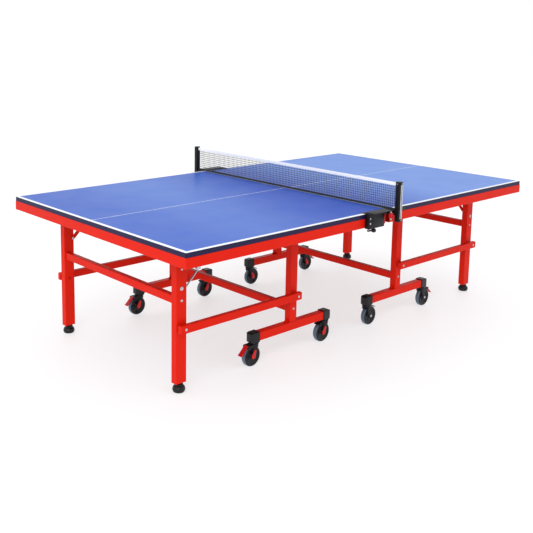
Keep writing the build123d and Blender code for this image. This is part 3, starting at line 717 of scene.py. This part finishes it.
@dataclass
class Undercarriage:
    """One half's wheeled T frame: posts, foot tubes, crossbar, caps, welds and bolts."""

    half: Half
    foot_bottom: float = 128.0
    foot_tall: float = 45.0
    foot_wide: float = 40.0
    cap_ends: tuple[float, float] = (-750.0, -155.0)
    cap_proud: float = 4.0
    cap_depths: tuple[float, ...] = (0.0, 0.5, 1.4, 4.0, 14.0, 16.0, 50.5, 51.2, 54.2, 55.0, 55.0)
    cap_insets: tuple[float, ...] = (9.6, 7.6, 6.0, 2.6, -0.6, -1.0, -1.0, -1.2, -1.2, -0.4, 2.6)
    bar_z: float = 245.0
    bar: tuple[float, float] = (30.0, 40.0)
    post: tuple[float, float] = (50.0, 40.0)

    def caps(self) -> None:
        """Square plugs over the foot tubes' ends, drawn in at the nose and lipped at the tube."""
        middle = self.foot_bottom + self.foot_tall / 2
        wide, tall = self.foot_wide + 2 * self.cap_proud, self.foot_tall + 2 * self.cap_proud
        section = rounded(wide, tall, 5.0, 6)
        rings = np.stack([section(inset) for inset in self.cap_insets])
        depths = np.array(self.cap_depths)[:, None, None]
        parts = []
        for x_end, way in zip(self.cap_ends, (1.0, -1.0)):
            basis = axes((way, 0.0, 0.0), (0.0, way, 0.0))
            plug = grid(rings @ basis[:2] + depths * basis[2])
            parts += [(plug.at(x_end, y, middle), BLACK_NYLON) for y in (-FRAME_Y, FRAME_Y)]
        put(f"{self.half.word}_nylon_foot_caps", parts, self.half,
            f"{self.half.word}_undercarriage", [f"{self.half.word}_foot_caps"], "black_plastic")

    def welds(self) -> None:
        """Beads where the posts stand on the foot tubes and where the crossbar meets the posts."""
        top = self.foot_bottom + self.foot_tall
        parts = [(ring_seam((POST_X, side * FRAME_Y, top + 0.4), self.post[0] + 1.0,
                            self.post[1] + 1.0, (0, 0, 1), (1, 0, 0), 1.9), WELD_COAT)
                 for side in SIDES]
        parts += bar_seams(POST_X, self.bar_z, self.bar)
        put(f"{self.half.word}_frame_welds", parts, self.half,
            f"{self.half.word}_undercarriage", slot="red_enamel")

    def bolts(self) -> None:
        """Link pivots with their spacers, and the crossbar's fixings."""
        parts: list[tuple[Shell, Finish]] = []
        for side in SIDES:
            parts += Bolt(POST_X, side * OUTER_FACE_Y, self.bar_z, side, 6.0).parts()
            parts += link_pivot(POST_X, side, 0.4, 0.6)
        put(f"{self.half.word}_frame_bolts", parts, self.half, f"{self.half.word}_undercarriage",
            [f"{self.half.word}_t_bolts"], "zinc")

    def build(self) -> None:
        """Dresses the tubes and adds the fitted pieces."""
        dress(f"{self.half.word}_t_frame", RED_COAT)
        self.caps()
        self.welds()
        self.bolts()


@dataclass
class Legs:
    """One half's end legs with their crossbar, link bars, stays, bolts and levelling feet."""

    half: Half
    bar_x: float = -1207.0
    bar_z: float = 450.0
    bar: tuple[float, float] = (30.0, 40.0)
    heads: tuple[tuple[float, float], ...] = ((600.0, 5.5), (508.0, 9.5), (450.0, 6.5))
    barrel: float = 31.0
    rod_foot: Point = (LEG_X + 20.0, -470.0, 445.0)
    rod_run: tuple[float, float] = (7.0, 181.0)
    rod_radius: float = 4.0
    strap_foot: Point = (LEG_X + 22.0, 473.7, 545.0)

    def welds(self) -> None:
        """Beads where the crossbar meets the legs."""
        put(f"{self.half.word}_leg_welds", bar_seams(self.bar_x, self.bar_z, self.bar), self.half,
            f"{self.half.word}_legs", slot="red_enamel")

    def bolts(self) -> None:
        """Heads down each leg's outer face, the link pivots and the stays' pins."""
        parts: list[tuple[Shell, Finish]] = []
        for side in SIDES:
            for z, radius in self.heads:
                parts += Bolt(LEG_X, side * OUTER_FACE_Y, z, side, radius).parts()
            parts += link_pivot(LEG_X, side)
        x, y, z = self.rod_foot
        parts.append(pin((x, y - 10.0, z), 1.0, self.rod_radius, 14.3))
        parts += Bolt(x, y + 4.3, z, 1.0, 7.0, Head.NUT).parts()
        x, y, z = self.strap_foot
        parts.append(pin((x, y, z), 1.0, self.rod_radius, 6.3))
        parts += Bolt(x, y, z, -1.0, 7.0, Head.NUT).parts()
        put(f"{self.half.word}_leg_fasteners", parts, self.half, f"{self.half.word}_legs",
            [f"{self.half.word}_leg_bolts"], "zinc")

    def stays(self) -> None:
        """The zinc rod: straight, with a forged eye at its foot and a tip that rounds off.

        Over the last 5 mm the radius shrinks to half, as the square root of 1 - 0.75 s squared."""
        up = math.sqrt(0.5)
        along = np.linspace(*self.rod_run, 40)
        path = np.array(self.rod_foot) + along[:, None] * np.array([up, 0.0, up])
        t = np.arange(16) * math.pi / 8
        near_end = np.clip((along - self.rod_run[1] + 5.0) / 5.0, 0.0, 1.0)
        radius = self.rod_radius * np.sqrt(1.0 - 0.75 * near_end ** 2)
        section = radius[:, None, None] * np.stack([np.cos(t), np.sin(t)], 1)[None]
        rod = carried(path, section, CROSSWISE)
        profile = [(4.2, -3.6), (7.6, -3.8), (9.0, -2.4), (9.0, 2.4), (7.6, 3.8), (4.2, 3.6)]
        eye = lathe(profile, self.rod_foot, CROSSWISE, 28, True)
        put(f"{self.half.word}_zinc_stay", [(rod, ZINC), (eye, ZINC)], self.half,
            f"{self.half.word}_rod_stay", [f"{self.half.word}_stay_rod"], "zinc")

    def feet(self) -> None:
        """Levelling feet: a barrel-shaped pad with a neck, a locknut and a threaded stem."""
        for y in (-FRAME_Y, FRAME_Y):
            place = self.half.place(y)
            h = np.linspace(0.0, self.barrel, 24)
            swell = np.sin(math.pi * np.clip(h / self.barrel * 0.88 + 0.08, 0.0, 1.0))
            bulge = 20.0 + 11.0 * swell ** 0.5
            groove = 1.0 * np.exp(-((h - 22.0) / 1.3) ** 2)
            pad = list(zip((bulge - groove).tolist(), h.tolist()))
            pad = [(15.0, 0.0)] + pad[1:] + [(20.5, 32.0), (20.5, 39.2), (19.0, 40.4), (10.0, 40.9)]
            at = (LEG_X, y, 0.0)
            nut = prism(hexagon(10.0), (LEG_X, y, 40.6), (0, 0, 1), 4.6, 0.7)
            stem = thread((LEG_X, y, 40.0), (0, 0, 1), 5.9, 23.5)
            put(f"{self.half.word}_level_foot_{place}",
                [(lathe(pad, at), RUBBER), (nut, ZINC), (stem, ZINC)], self.half,
                f"{self.half.word}_foot_{place}", [f"{self.half.word}_foot_{place}"], "rubber")

    def build(self) -> None:
        """Dresses the tubes and adds the fitted pieces."""
        for node in ("end_legs", "end_crossbar", "link_bars", "stay_strap"):
            dress(f"{self.half.word}_{node}", RED_COAT)
        self.welds()
        self.bolts()
        self.stays()
        self.feet()


@dataclass
class Top:
    """One half's board on its steel frame, with the pivot brackets under it."""

    half: Half
    bracket_in: float = 476.0
    bracket_out: float = 524.0

    def pivots(self) -> None:
        """Pins through the brackets at the post and leg tops, headed outside and nutted inside."""
        parts: list[tuple[Shell, Finish]] = []
        for side in SIDES:
            for x in (LEG_X, POST_X):
                start = (x, side * self.bracket_in, TOP_PIVOT_Z)
                parts.append(pin(start, side, 5.0, self.bracket_out - self.bracket_in))
                parts += Bolt(x, side * self.bracket_out, TOP_PIVOT_Z, side, 9.0,
                              Head.DOME).parts()
                parts += Bolt(x, side * self.bracket_in, TOP_PIVOT_Z, -side, 9.0,
                              Head.NUT).parts()
        put(f"{self.half.word}_top_pivots", parts, self.half, f"{self.half.word}_top",
            [f"{self.half.word}_pivot_bolts"], "zinc")

    def build(self) -> None:
        """Dresses the board and frame and adds the pivots."""
        dress(f"{self.half.word}_board", BLUE_BOARD)
        dress(f"{self.half.word}_top_frame", RED_COAT)
        dress(f"{self.half.word}_pivot_brackets", ZINC)
        self.pivots()


@dataclass
class Caster:
    """A swivel caster: fork with domed crown, tyred wheel, and a brake lever on the outer ones."""

    half: Half
    row: str
    stem_x: float
    y: float
    trail: float = 20.0
    wheel_r: float = 55.0
    tread_half: float = 14.0
    fork_in: float = 17.0
    fork_thick: float = 3.0
    top: float = 123.7
    lever_wide: float = 28.0
    lever_pin: tuple[float, float] = (-52.0, 109.0)

    @property
    def name(self) -> str:
        """The caster's name in node and body names."""
        return f"{self.half.word}_{self.row}_{self.half.place(self.y)}"

    @property
    def covered(self) -> float:
        """The side that the red hub cover is on: -Y on the left half, inwards on the right."""
        return -1.0 if self.half is Half.LEFT else -math.copysign(1.0, self.y)

    def arm(self) -> Shell:
        """One side of the fork: a pressed plate that drops from the crown and leans to the hub.

        Its middle line bends past five corners, its half width shrinks from 19 to 7.5, and its
        rounded section keeps the plate's thickness."""
        path = softened([(-6, 0, 119.5), (-4, 0, 98), (-8, 0, 78), (-16, 0, 62), (-23, 0, 49)])
        share = np.linspace(0.0, 1.0, len(path))
        half_wide = np.interp(share, [0, 0.3, 0.6, 0.85, 1.0], [19, 16, 12.5, 11, 7.5])
        plate = rounded(self.fork_thick, 2.0, 0.9, 4)(0.0)
        sections = np.stack([np.broadcast_to(plate[:, 0], (len(path), len(plate))),
                             plate[None, :, 1] * half_wide[:, None]], -1)
        middle = -(self.fork_in + self.fork_thick / 2)
        return carried(path, sections, CROSSWISE).at(0.0, middle, 0.0)

    def hood(self) -> Shell:
        """The pressed hood that joins the arms over the wheel.

        A thin rounded strip follows an arc a few millimetres outside the tread, 38 degrees either
        way from the top of the wheel, and flattens under the crown."""
        rows = 26
        turn = np.radians(np.linspace(128.0, 52.0, rows))
        reach = self.wheel_r + 5.2
        path = np.stack([-self.trail + reach * np.cos(turn), 0 * turn,
                         np.minimum(self.wheel_r + reach * np.sin(turn), 117.5)], 1)
        share = np.abs(np.linspace(-1.0, 1.0, rows))
        wide = 2 * self.fork_in + 2 * self.fork_thick - 3.0 * share ** 4
        strip = rounded(1.0, 4.4, 0.45, 4)(0.0)
        flat = np.broadcast_to(strip[None, :, 1], (rows, len(strip)))
        sections = np.stack([strip[None, :, 0] * wide[:, None], flat], -1)
        return carried(path, sections, CROSSWISE)

    def fork(self) -> None:
        """The crown with its ball race, the hood, both arms, the axle and the red hub cover."""
        disc = [(12.0, -15.0), (20.0, -14.6), (24.5, -11.5), (25.6, -7.0), (26.0, -3.0),
                (25.4, -2.2), (25.4, -1.6), (26.0, -0.9), (25.2, 0.0), (8.0, 0.0)]
        crown = lathe(disc, (0.0, 0.0, self.top), steps=44)
        stem = prism(circle(6.0), (0.0, 0.0, self.top - 1.0), (0, 0, 1), 22.5, 0.6)
        hood = self.hood()
        arm = self.arm()
        axle_y = self.fork_in + self.fork_thick
        axle = pin((-self.trail, -axle_y - 1.0, self.wheel_r), 1.0, 5.0, 2 * axle_y + 2.0)
        parts = [(crown, BLACK_STEEL), (stem, ZINC), (hood, BLACK_STEEL), (arm, BLACK_STEEL),
                 (arm.mirrored(), BLACK_STEEL), axle]
        if self.row == "outer":
            lug = prism(teardrop(6.5, 6.5, 22.0), (-51.5, -self.fork_in, 109.5), (0, -1, 0),
                        self.fork_thick, 0.7)
            parts += [(lug, BLACK_STEEL), (lug.mirrored(), BLACK_STEEL)]
            pin_x, pin_z = self.lever_pin
            parts.append(pin((pin_x, -self.fork_in - 1.0, pin_z), 1.0, 2.5,
                             2 * self.fork_in + 2.0, 0.3))
        parts += Bolt(-self.trail, -self.covered * axle_y, self.wheel_r, -self.covered, 7.6).parts()
        cover = prism(teardrop(13.0, 7.5, 28.0), (-self.trail, -axle_y + 0.4, self.wheel_r),
                      (0, -1, 0), 4.2, 2.0, (0.36, 0.0, 0.933), 4)
        parts.append((cover if self.covered < 0 else cover.mirrored(), RED_ACETAL))
        parts = [(s.at(self.stem_x, self.y), f) for s, f in parts]
        put(f"{self.name}_swivel_fork", parts, self.half, f"{self.name}_caster",
            [f"{self.name}_fork"], "black_steel")

    def wheel(self) -> None:
        """A blue-grey tread on a black tyre, whose black core has five hollows round the hub.

        The tyre's section is a flattened arch, and the tread caps it. The core is a turned web,
        and its hollows are the web's depth varied as the cosine of five times the angle."""
        at = (-self.trail, 0.0, self.wheel_r)

        def turned(profile: Sequence[tuple[float, float]]) -> Shell:
            return lathe(profile, at, CROSSWISE, WHEEL_STEPS, True)

        side = ([(40.0, -11.5), (43.5, -13.4), (46.5, -self.tread_half)]
                + arc((47.0, -6.0), 7.7, -80, -12, 9) + arc((47.0, 6.0), 7.7, 12, 80, 9)
                + [(46.5, self.tread_half), (43.5, 13.4), (40.0, 11.5)])
        cap = ([(49.0, -9.5)] + arc((47.0, -6.0), 8.0, -50, -12, 7)
               + arc((47.0, 6.0), 8.0, 12, 50, 7) + [(49.0, 9.5)])
        core = [(5.2, -15.9), (12.0, -15.9), (13.4, -15.0), (14.4, -10.0), (17.0, -6.2),
                (32.0, -6.2), (36.0, -9.0), (38.5, -11.8), (40.8, -12.2), (41.6, -10.5)]
        hub = turned(core + [(r, -h) for r, h in core[::-1]])
        turn = np.arctan2(hub.points[:, 2] - at[2], hub.points[:, 0] - at[0])
        radius = np.hypot(hub.points[:, 2] - at[2], hub.points[:, 0] - at[0])
        rib = np.clip(np.cos(5 * turn) * 2.2 - 1.0, 0.0, 1.0) * ((radius > 16) & (radius < 37))
        hub.points[:, 1] += np.sign(hub.points[:, 1]) * 3.2 * rib
        ring = turned([(40.4, -12.6), (42.2, -13.7), (43.2, -13.3), (41.8, -11.6)])
        # The tread cap's blue-grey is partly its own tone and partly a painted highlight.
        parts = [(turned(side), RUBBER), (turned(cap), TYRE), (hub, BLACK_NYLON),
                 (ring, BLACK_STEEL), (ring.mirrored(), BLACK_STEEL)]
        parts = [(s.at(self.stem_x, self.y), f) for s, f in parts]
        put(f"{self.name}_tyred_wheel", parts, self.half, f"{self.name}_wheel",
            [f"{self.name}_wheel"], "tyre")

    def lever(self) -> None:
        """The brake lever: a moulded tread plate that slopes out and down to a turned-up lip.

        Its middle line falls from the pin to the lip, and its section is a rounded bar that
        widens a little towards the lip."""
        path = softened([(-48, 0, 112.0), (-57, 0, 109.5), (-70, 0, 96), (-88, 0, 77.5),
                         (-93, 0, 72.5), (-98, 0, 71.0)])
        share = np.linspace(0.0, 1.0, len(path))
        wide = np.interp(share, [0.0, 0.15, 1.0], [24.0, self.lever_wide, self.lever_wide + 1.0])
        thick = np.interp(share, [0.0, 0.5, 0.9, 1.0], [5.5, 5.0, 7.0, 4.0])
        bar = rounded(1.0, 1.0, 0.28, 5)(0.0)
        sections = np.stack([bar[None, :, 0] * wide[:, None], bar[None, :, 1] * thick[:, None]], -1)
        plate = carried(path, sections, CROSSWISE)
        eye = lathe([(2.6, -13.0), (5.4, -13.0), (6.0, -12.2), (6.0, 12.2), (5.4, 13.0),
                     (2.6, 13.0)], (self.lever_pin[0], 0.0, self.lever_pin[1]), CROSSWISE, 24, True)
        ribs = [prism(rounded(5.0, 2.4, 0.9, 3), (-76.0 + 8.0 * k, -10.0, 92.2 + 8.3 * k),
                      CROSSWISE, 20.0, 0.6, (0.7, 0.0, 0.71)) for k in (-1, 0, 1)]
        parts = [(s.at(self.stem_x, self.y), RED_ACETAL) for s in [plate, eye] + ribs]
        put(f"{self.name}_brake_lever", parts, self.half, f"{self.name}_brake",
            [f"{self.name}_pedal"], "red_plastic")

    def build(self) -> None:
        """Builds the whole caster."""
        self.fork()
        self.wheel()
        if self.row == "outer":
            self.lever()


@dataclass
class NetClamp:
    """One side's net clamp: box on the board's edge, screw with its crank, and the net knob."""

    half: Half
    x: tuple[float, float] = (-190.0, -60.0)
    out_y: float = -791.0
    edge_y: float = -762.5
    bottom: float = 683.0
    top: float = 760.0
    jaw: float = 2.5
    jaw_reach: float = 25.0
    screw: tuple[float, float] = (-176.0, -778.0)
    crank: float = 36.0
    knob_z: tuple[float, float] = (714.0, 756.0)

    @property
    def place(self) -> str:
        """Which side of the table the clamp is on."""
        return self.half.place(self.out_y)

    def box(self) -> None:
        """A pressed box with rounded edges, its jaw plate on the board, and two screws."""
        middle = (self.x[0] + self.x[1]) / 2
        long = self.x[1] - self.x[0]
        deep = self.edge_y - self.out_y
        mid_y = (self.edge_y + self.out_y) / 2
        body = prism(rounded(long, deep, 4.0), (middle, mid_y, self.bottom), (0, 0, 1),
                     self.top - self.bottom, 1.6)
        jaw = prism(rounded(long, deep + self.jaw_reach, 3.0),
                    (middle, mid_y + self.jaw_reach / 2, self.top - 0.4), (0, 0, 1),
                    self.jaw + 0.4, 0.6)
        rib = prism(rounded(long - 34.0, 46.0, 5.0), (middle + 8.0, self.out_y + 0.5, 722.0),
                    (0, -1, 0), 2.0, 1.0, (1, 0, 0))
        parts = [(body, BLACK_STEEL), (jaw, BLACK_STEEL), (rib, BLACK_STEEL)]
        for z, radius in ((738.0, 4.5), (712.0, 5.5)):
            parts += Bolt(self.x[0] + 11.0, self.out_y, z, -1.0, radius, Head.DOME).parts()
        put(f"clamp_box_{self.place}", parts, self.half, f"{self.half.word}_top",
            [f"net_clamp_{self.place}"], "black_steel")

    def handle(self) -> None:
        """The clamp screw's threaded end, its cranked arm and the grip laid along the arm."""
        x, y = self.screw
        arm_z = self.bottom - 9.0
        screw = thread((x, y, arm_z - 1.0), (0, 0, 1), 5.0, 38.0, 2.0)
        arm = prism(teardrop(8.0, 7.0, self.crank), (x, y, arm_z - 5.0), (0, 0, 1), 5.0, 1.2)
        grip = [(5.0, -19.0), (9.6, -18.2), (11.6, -15.0), (12.0, -10.0), (11.2, -4.0), (9.0, 1.6),
                (5.0, 2.4)]
        knob = lathe(grip, (x + self.crank + 15.0, y, arm_z - 8.0), (0.95, 0.0, -0.3), 28)
        put(f"clamp_crank_{self.place}", [(screw, ZINC), (arm, BLACK_STEEL), (knob, BLACK_NYLON)],
            self.half, f"clamp_screw_{self.place}", [f"clamp_screw_{self.place}"], "black_plastic")

    def tension_knob(self) -> None:
        """The red knob under the net arm: ten shallow lobes, eased top and bottom."""
        low, high = self.knob_z
        knob = prism(circle(12.6, 80, 10, 0.8), (KNOB_X, KNOB_Y, low + 10.0), (0, 0, 1),
                     high - low - 14.0, 2.0)
        collar = prism(circle(8.0), (KNOB_X, KNOB_Y, high - 5.0), (0, 0, 1), 5.0, 0.8)
        nose = prism(circle(6.0), (KNOB_X, KNOB_Y, low), (0, 0, 1), 11.0, 1.5)
        put(f"tension_knob_{self.place}",
            [(knob, RED_ACETAL), (collar, ZINC), (nose, ZINC)], self.half,
            f"net_knob_{self.place}", [f"net_knob_{self.place}"], "red_plastic")

    def build(self) -> None:
        """Builds the clamp."""
        self.box()
        self.handle()
        self.tension_knob()


@dataclass
class Net:
    """The net: posts with arms and tongues, corded mesh, white tape and black foot band."""

    post_y: float = 830.0
    post: float = 30.0
    low: float = 705.0
    high: float = 918.0
    top: float = 912.5
    tape_tall: float = 15.0
    tape_shown: float = 18.5
    band: tuple[float, float] = (762.0, 774.0)
    pitch: float = 12.5
    cord: float = 1.05
    arm_x: tuple[float, float] = (-180.0, -4.0)
    arm_y: tuple[float, float] = (-815.0, -758.0)
    arm_z: tuple[float, float] = (762.8, 766.8)
    lug_y: tuple[float, float] = (-815.0, -764.0)
    tongue_x: tuple[float, float] = (-10.0, 150.0)

    @property
    def reach(self) -> float:
        """Half the clear length between the posts."""
        return self.post_y - self.post / 2

    def posts(self) -> None:
        """Black posts with two pale strips up the outside, which are painted highlights, and the
        plates that hold them.
        """
        parts: list[tuple[Shell, Finish]] = []
        for sign in (1.0, -1.0):
            parts += [(self.turned(s, sign), f) for s, f in self.post_parts()]
        put("net_post_pair", parts, Half.LEFT, "net_set", ["net_posts"], "black_steel")

    @staticmethod
    def turned(shell: Shell, sign: float) -> Shell:
        """The surface as it is, or turned half a turn about the vertical axis."""
        return Shell(shell.points * np.array([sign, sign, 1.0]), shell.quads, shell.tris)

    def post_parts(self) -> list[tuple[Shell, Finish]]:
        """The near post's surfaces."""
        y = -self.post_y
        tall = self.high - self.low
        column = prism(rounded(self.post, self.post, 6.0), (0.0, y, self.low), (0, 0, 1), tall, 2.0)
        face = y - self.post / 2
        # Pale metal strips down the outer face: painted highlights.
        strips = [prism(rounded(3.4, tall - 30.0, 1.2), (x, face + 0.8, (self.low + self.high) / 2),
                        (0, -1, 0), 1.8, 0.7, (1, 0, 0)) for x in (-2.0, 8.5)]
        arm = prism(rounded(self.arm_x[1] - self.arm_x[0], self.arm_y[1] - self.arm_y[0], 5.0),
                    (sum(self.arm_x) / 2, sum(self.arm_y) / 2, self.arm_z[0]), (0, 0, 1),
                    self.arm_z[1] - self.arm_z[0], 1.0)
        lug = prism(rounded(20.0, self.lug_y[1] - self.lug_y[0], 3.0),
                    (0.0, sum(self.lug_y) / 2, 737.4), (0, 0, 1), 24.0, 1.2)
        tongue_long = self.tongue_x[1] - self.tongue_x[0]
        tongue = prism(rounded(tongue_long, 22.4, 3.0), (sum(self.tongue_x) / 2, -763.65, 748.5),
                       (0, -1, 0), 2.3, 0.6, (1, 0, 0))
        stud = prism(circle(4.0), (KNOB_X, KNOB_Y, 754.0), (0, 0, 1), 11.0, 0.4)
        parts = [(column, BLACK_STEEL), (arm, BLACK_STEEL), (lug, BLACK_STEEL),
                 (tongue, BLACK_STEEL), (stud, ZINC)]
        parts += [(s, POST_HIGHLIGHT_METAL) for s in strips]
        screw = circle(3.2, 20)
        for z in (self.high - 9.0, self.low + 9.0):
            parts.append((prism(screw, (5.0, face + 0.3, z), (0, -1, 0), 2.0, 0.8), ZINC))
        side = (-self.post / 2 + 0.3, y, self.high - 12.0)
        parts.append((prism(screw, side, (-1, 0, 0), 2.0, 0.8, CROSSWISE), ZINC))
        return parts

    def mesh(self) -> bpy.types.Object:
        """Square mesh of cords, thicker at each knot.

        A cord's radius is 0.8 of its mean between knots and 1.35 of it at them. One upright cord
        is repeated across the net, and one level cord up it."""
        half = self.reach
        low, high = self.band[1] - 2.0, self.top - self.tape_tall + 2.0
        columns = int(2 * half / self.pitch)
        rows = int((high - low) / self.pitch)
        hexa = np.arange(6) * math.pi / 3
        ring = np.stack([np.cos(hexa), np.sin(hexa)], 1)

        def cord_of(path: Array, side: Point, count: int) -> Shell:
            knot = np.where(np.arange(2 * count + 1) % 2 == 0, 1.35, 0.8)
            return carried(path, self.cord * knot[:, None, None] * ring[None], side)

        z = np.linspace(low, high, 2 * rows + 1)
        upright = cord_of(np.stack([0 * z, 0 * z, z], 1), (1.0, 0.0, 0.0), rows)
        spread = np.linspace(-half, half, columns + 1)[1:-1]
        uprights = upright.repeated(np.stack([0 * spread, spread, 0 * spread], 1))
        y = np.linspace(-half, half, 2 * columns + 1)
        level = cord_of(np.stack([0 * y, y, 0 * y], 1), (1.0, 0.0, 0.0), columns)
        heights = np.linspace(low, high, rows + 1)[1:-1]
        levels = level.repeated(np.stack([0 * heights, 0 * heights, heights], 1))
        return put("net_cords", [(uprights, NET_CORD), (levels, NET_CORD)], Half.LEFT, "net_set",
                   ["net_mesh"], "net_mesh", 70.0)

    def bands(self) -> list[bpy.types.Object]:
        """The folded white tape with its cord along the top, and the flat black foot band.

        Each is a rounded section carried across the net. The tape swells to 1.4 times its
        thickness round the cord, and both stray by a fraction of a millimetre in slow waves."""
        y = np.linspace(-self.reach, self.reach, 261)
        wave = 0.25 * np.sin(y / 61.0) + 0.15 * np.sin(y / 23.0 + 1.0)
        made = []
        tape = rounded(3.0, self.tape_shown - 0.4, 1.3, 5)(0.0)
        swell = 1.0 + 0.4 / (1.0 + np.exp(-(tape[:, 1] - 5.4) / 0.8))
        tape = tape * np.stack([swell, np.ones_like(swell)], 1)
        strip = rounded(3.0, self.band[1] - self.band[0] - 0.3, 1.2, 5)(0.0)
        for name, section, z, finish, slot in (
            ("net_top_tape", tape, self.top - self.tape_shown / 2, WHITE_TAPE, "net_tape"),
            ("net_foot_band", strip, sum(self.band) / 2, BLACK_BAND, "net_mesh"),
        ):
            path = np.stack([wave * 0.4, y, z + 0 * y], 1)
            shell = carried(path, section, (1.0, 0.0, 0.0))
            made.append(put(name, [(shell, finish)], Half.LEFT, "net_set",
                            ["net_bands"] if finish is WHITE_TAPE else [], slot))
        return made

    def build(self) -> None:
        """Builds the net's posts, corded mesh and bands."""
        self.posts()
        cords = self.mesh()
        bands = self.bands()


@dataclass
class Studio:
    """Camera, pale floor and soft light."""

    eye_mm: Point = (-3441.0, -3351.3, 1675.7)
    yaw: float = 0.7250
    pitch: float = 0.1567
    roll: float = 0.0113
    lens: float = 54.853
    shift: tuple[float, float] = (0.0750, -0.1979)
    floor_m: float = 60.0

    def camera(self) -> None:
        """A standing view of one long side and one end, turned by yaw, pitch and roll."""
        sin, cos = math.sin, math.cos
        ahead = Vector((sin(self.yaw) * cos(self.pitch), cos(self.yaw) * cos(self.pitch),
                        -sin(self.pitch)))
        level = Vector((cos(self.yaw), -sin(self.yaw), 0.0))
        up = level.cross(ahead)
        right = level * cos(self.roll) + up * sin(self.roll)
        above = up * cos(self.roll) - level * sin(self.roll)
        data = bpy.data.cameras.new("camera")
        data.lens, data.sensor_width = self.lens, SENSOR_MM
        data.shift_x, data.shift_y = self.shift
        data.clip_end = 200.0
        eye = bpy.data.objects.new("camera", data)
        turn = Matrix((right, above, -ahead)).transposed().to_4x4()
        eye.matrix_world = Matrix.Translation(Vector(self.eye_mm) * MM) @ turn
        bpy.context.scene.collection.objects.link(eye)
        bpy.context.scene.camera = eye

    def floor(self) -> None:
        """A wide pale floor that glows a little, so that it fades into the backdrop."""
        s = self.floor_m
        mesh = bpy.data.meshes.new("floor")
        corners = [(-s, -s, -MM), (s, -s, -MM), (s, s, -MM), (-s, s, -MM)]
        mesh.from_pydata(corners, [], [(0, 1, 2, 3)])
        material = bpy.data.materials.new("matt_white_vinyl")
        material.use_nodes = True
        tree = material.node_tree
        tree.nodes.clear()
        place = add_node(tree, "ShaderNodeTexCoord").outputs["Object"]
        mottle = add_node(tree, "ShaderNodeTexNoise", {"Vector": place, "Scale": 0.8})
        tone = add_node(tree, "ShaderNodeMix", {0: mottle.outputs[0], 6: linear("#a4a4a6"),
                                                7: linear("#a9a9ac")}, data_type="RGBA")
        shader = add_node(tree, "ShaderNodeBsdfPrincipled", {
            "Base Color": tone.outputs[2], "Roughness": 0.6, "Specular IOR Level": 0.3,
            "Emission Color": (1.0, 1.0, 1.0, 1.0), "Emission Strength": 0.63})
        add_node(tree, "ShaderNodeOutputMaterial", {"Surface": shader.outputs[0]})
        mesh.materials.append(material)
        piece = bpy.data.objects.new("floor", mesh)
        bpy.context.scene.collection.objects.link(piece)

    def light(self, name: str, at: Point, to: Point, size: float, power: float) -> None:
        """A square soft light.

        Args:
            name: The light's name.
            at: Its place, in metres.
            to: The point it faces.
            size: Its side, in metres.
            power: Its power in watts.
        """
        data = bpy.data.lights.new(name, "AREA")
        data.size, data.energy = size, power
        lamp = bpy.data.objects.new(name, data)
        way = (Vector(to) - Vector(at)).to_track_quat("-Z", "Y")
        lamp.matrix_world = Matrix.Translation(at) @ way.to_matrix().to_4x4()
        bpy.context.scene.collection.objects.link(lamp)

    def build(self) -> None:
        """Sets up the camera, the floor, the backdrop and the light."""
        self.camera()
        self.floor()
        world = bpy.data.worlds.new("backdrop")
        world.use_nodes = True
        world.node_tree.nodes.clear()
        glow = add_node(world.node_tree, "ShaderNodeBackground",
                        {"Color": (1.0, 1.0, 1.0, 1.0), "Strength": 1.0})
        add_node(world.node_tree, "ShaderNodeOutputWorld", {"Surface": glow.outputs[0]})
        bpy.context.scene.world = world
        bpy.context.scene.view_settings.view_transform = "Standard"
        self.light("key", (-5.5, -3.0, 3.5), (-0.5, -0.2, 0.5), 3.0, 120.0)
        LOG.info("studio: camera, floor and light")


@dataclass
class Table:
    """The whole table."""

    stem_x: tuple[float, float] = (-715.0, -185.0)
    studio: Studio = field(default_factory=Studio)

    def build(self) -> None:
        """Builds every sub-assembly of both halves, then the net."""
        self.studio.build()
        Net().build()
        for half in Half:
            Top(half).build()
            Undercarriage(half).build()
            Legs(half).build()
            NetClamp(half).build()
            for row, stem_x in zip(("outer", "inner"), self.stem_x):
                for y in (-FRAME_Y, FRAME_Y):
                    Caster(half, row, stem_x, y).build()


def main() -> None:
    """Builds the table."""
    Table().build()


if __name__ == "__main__":
    main()
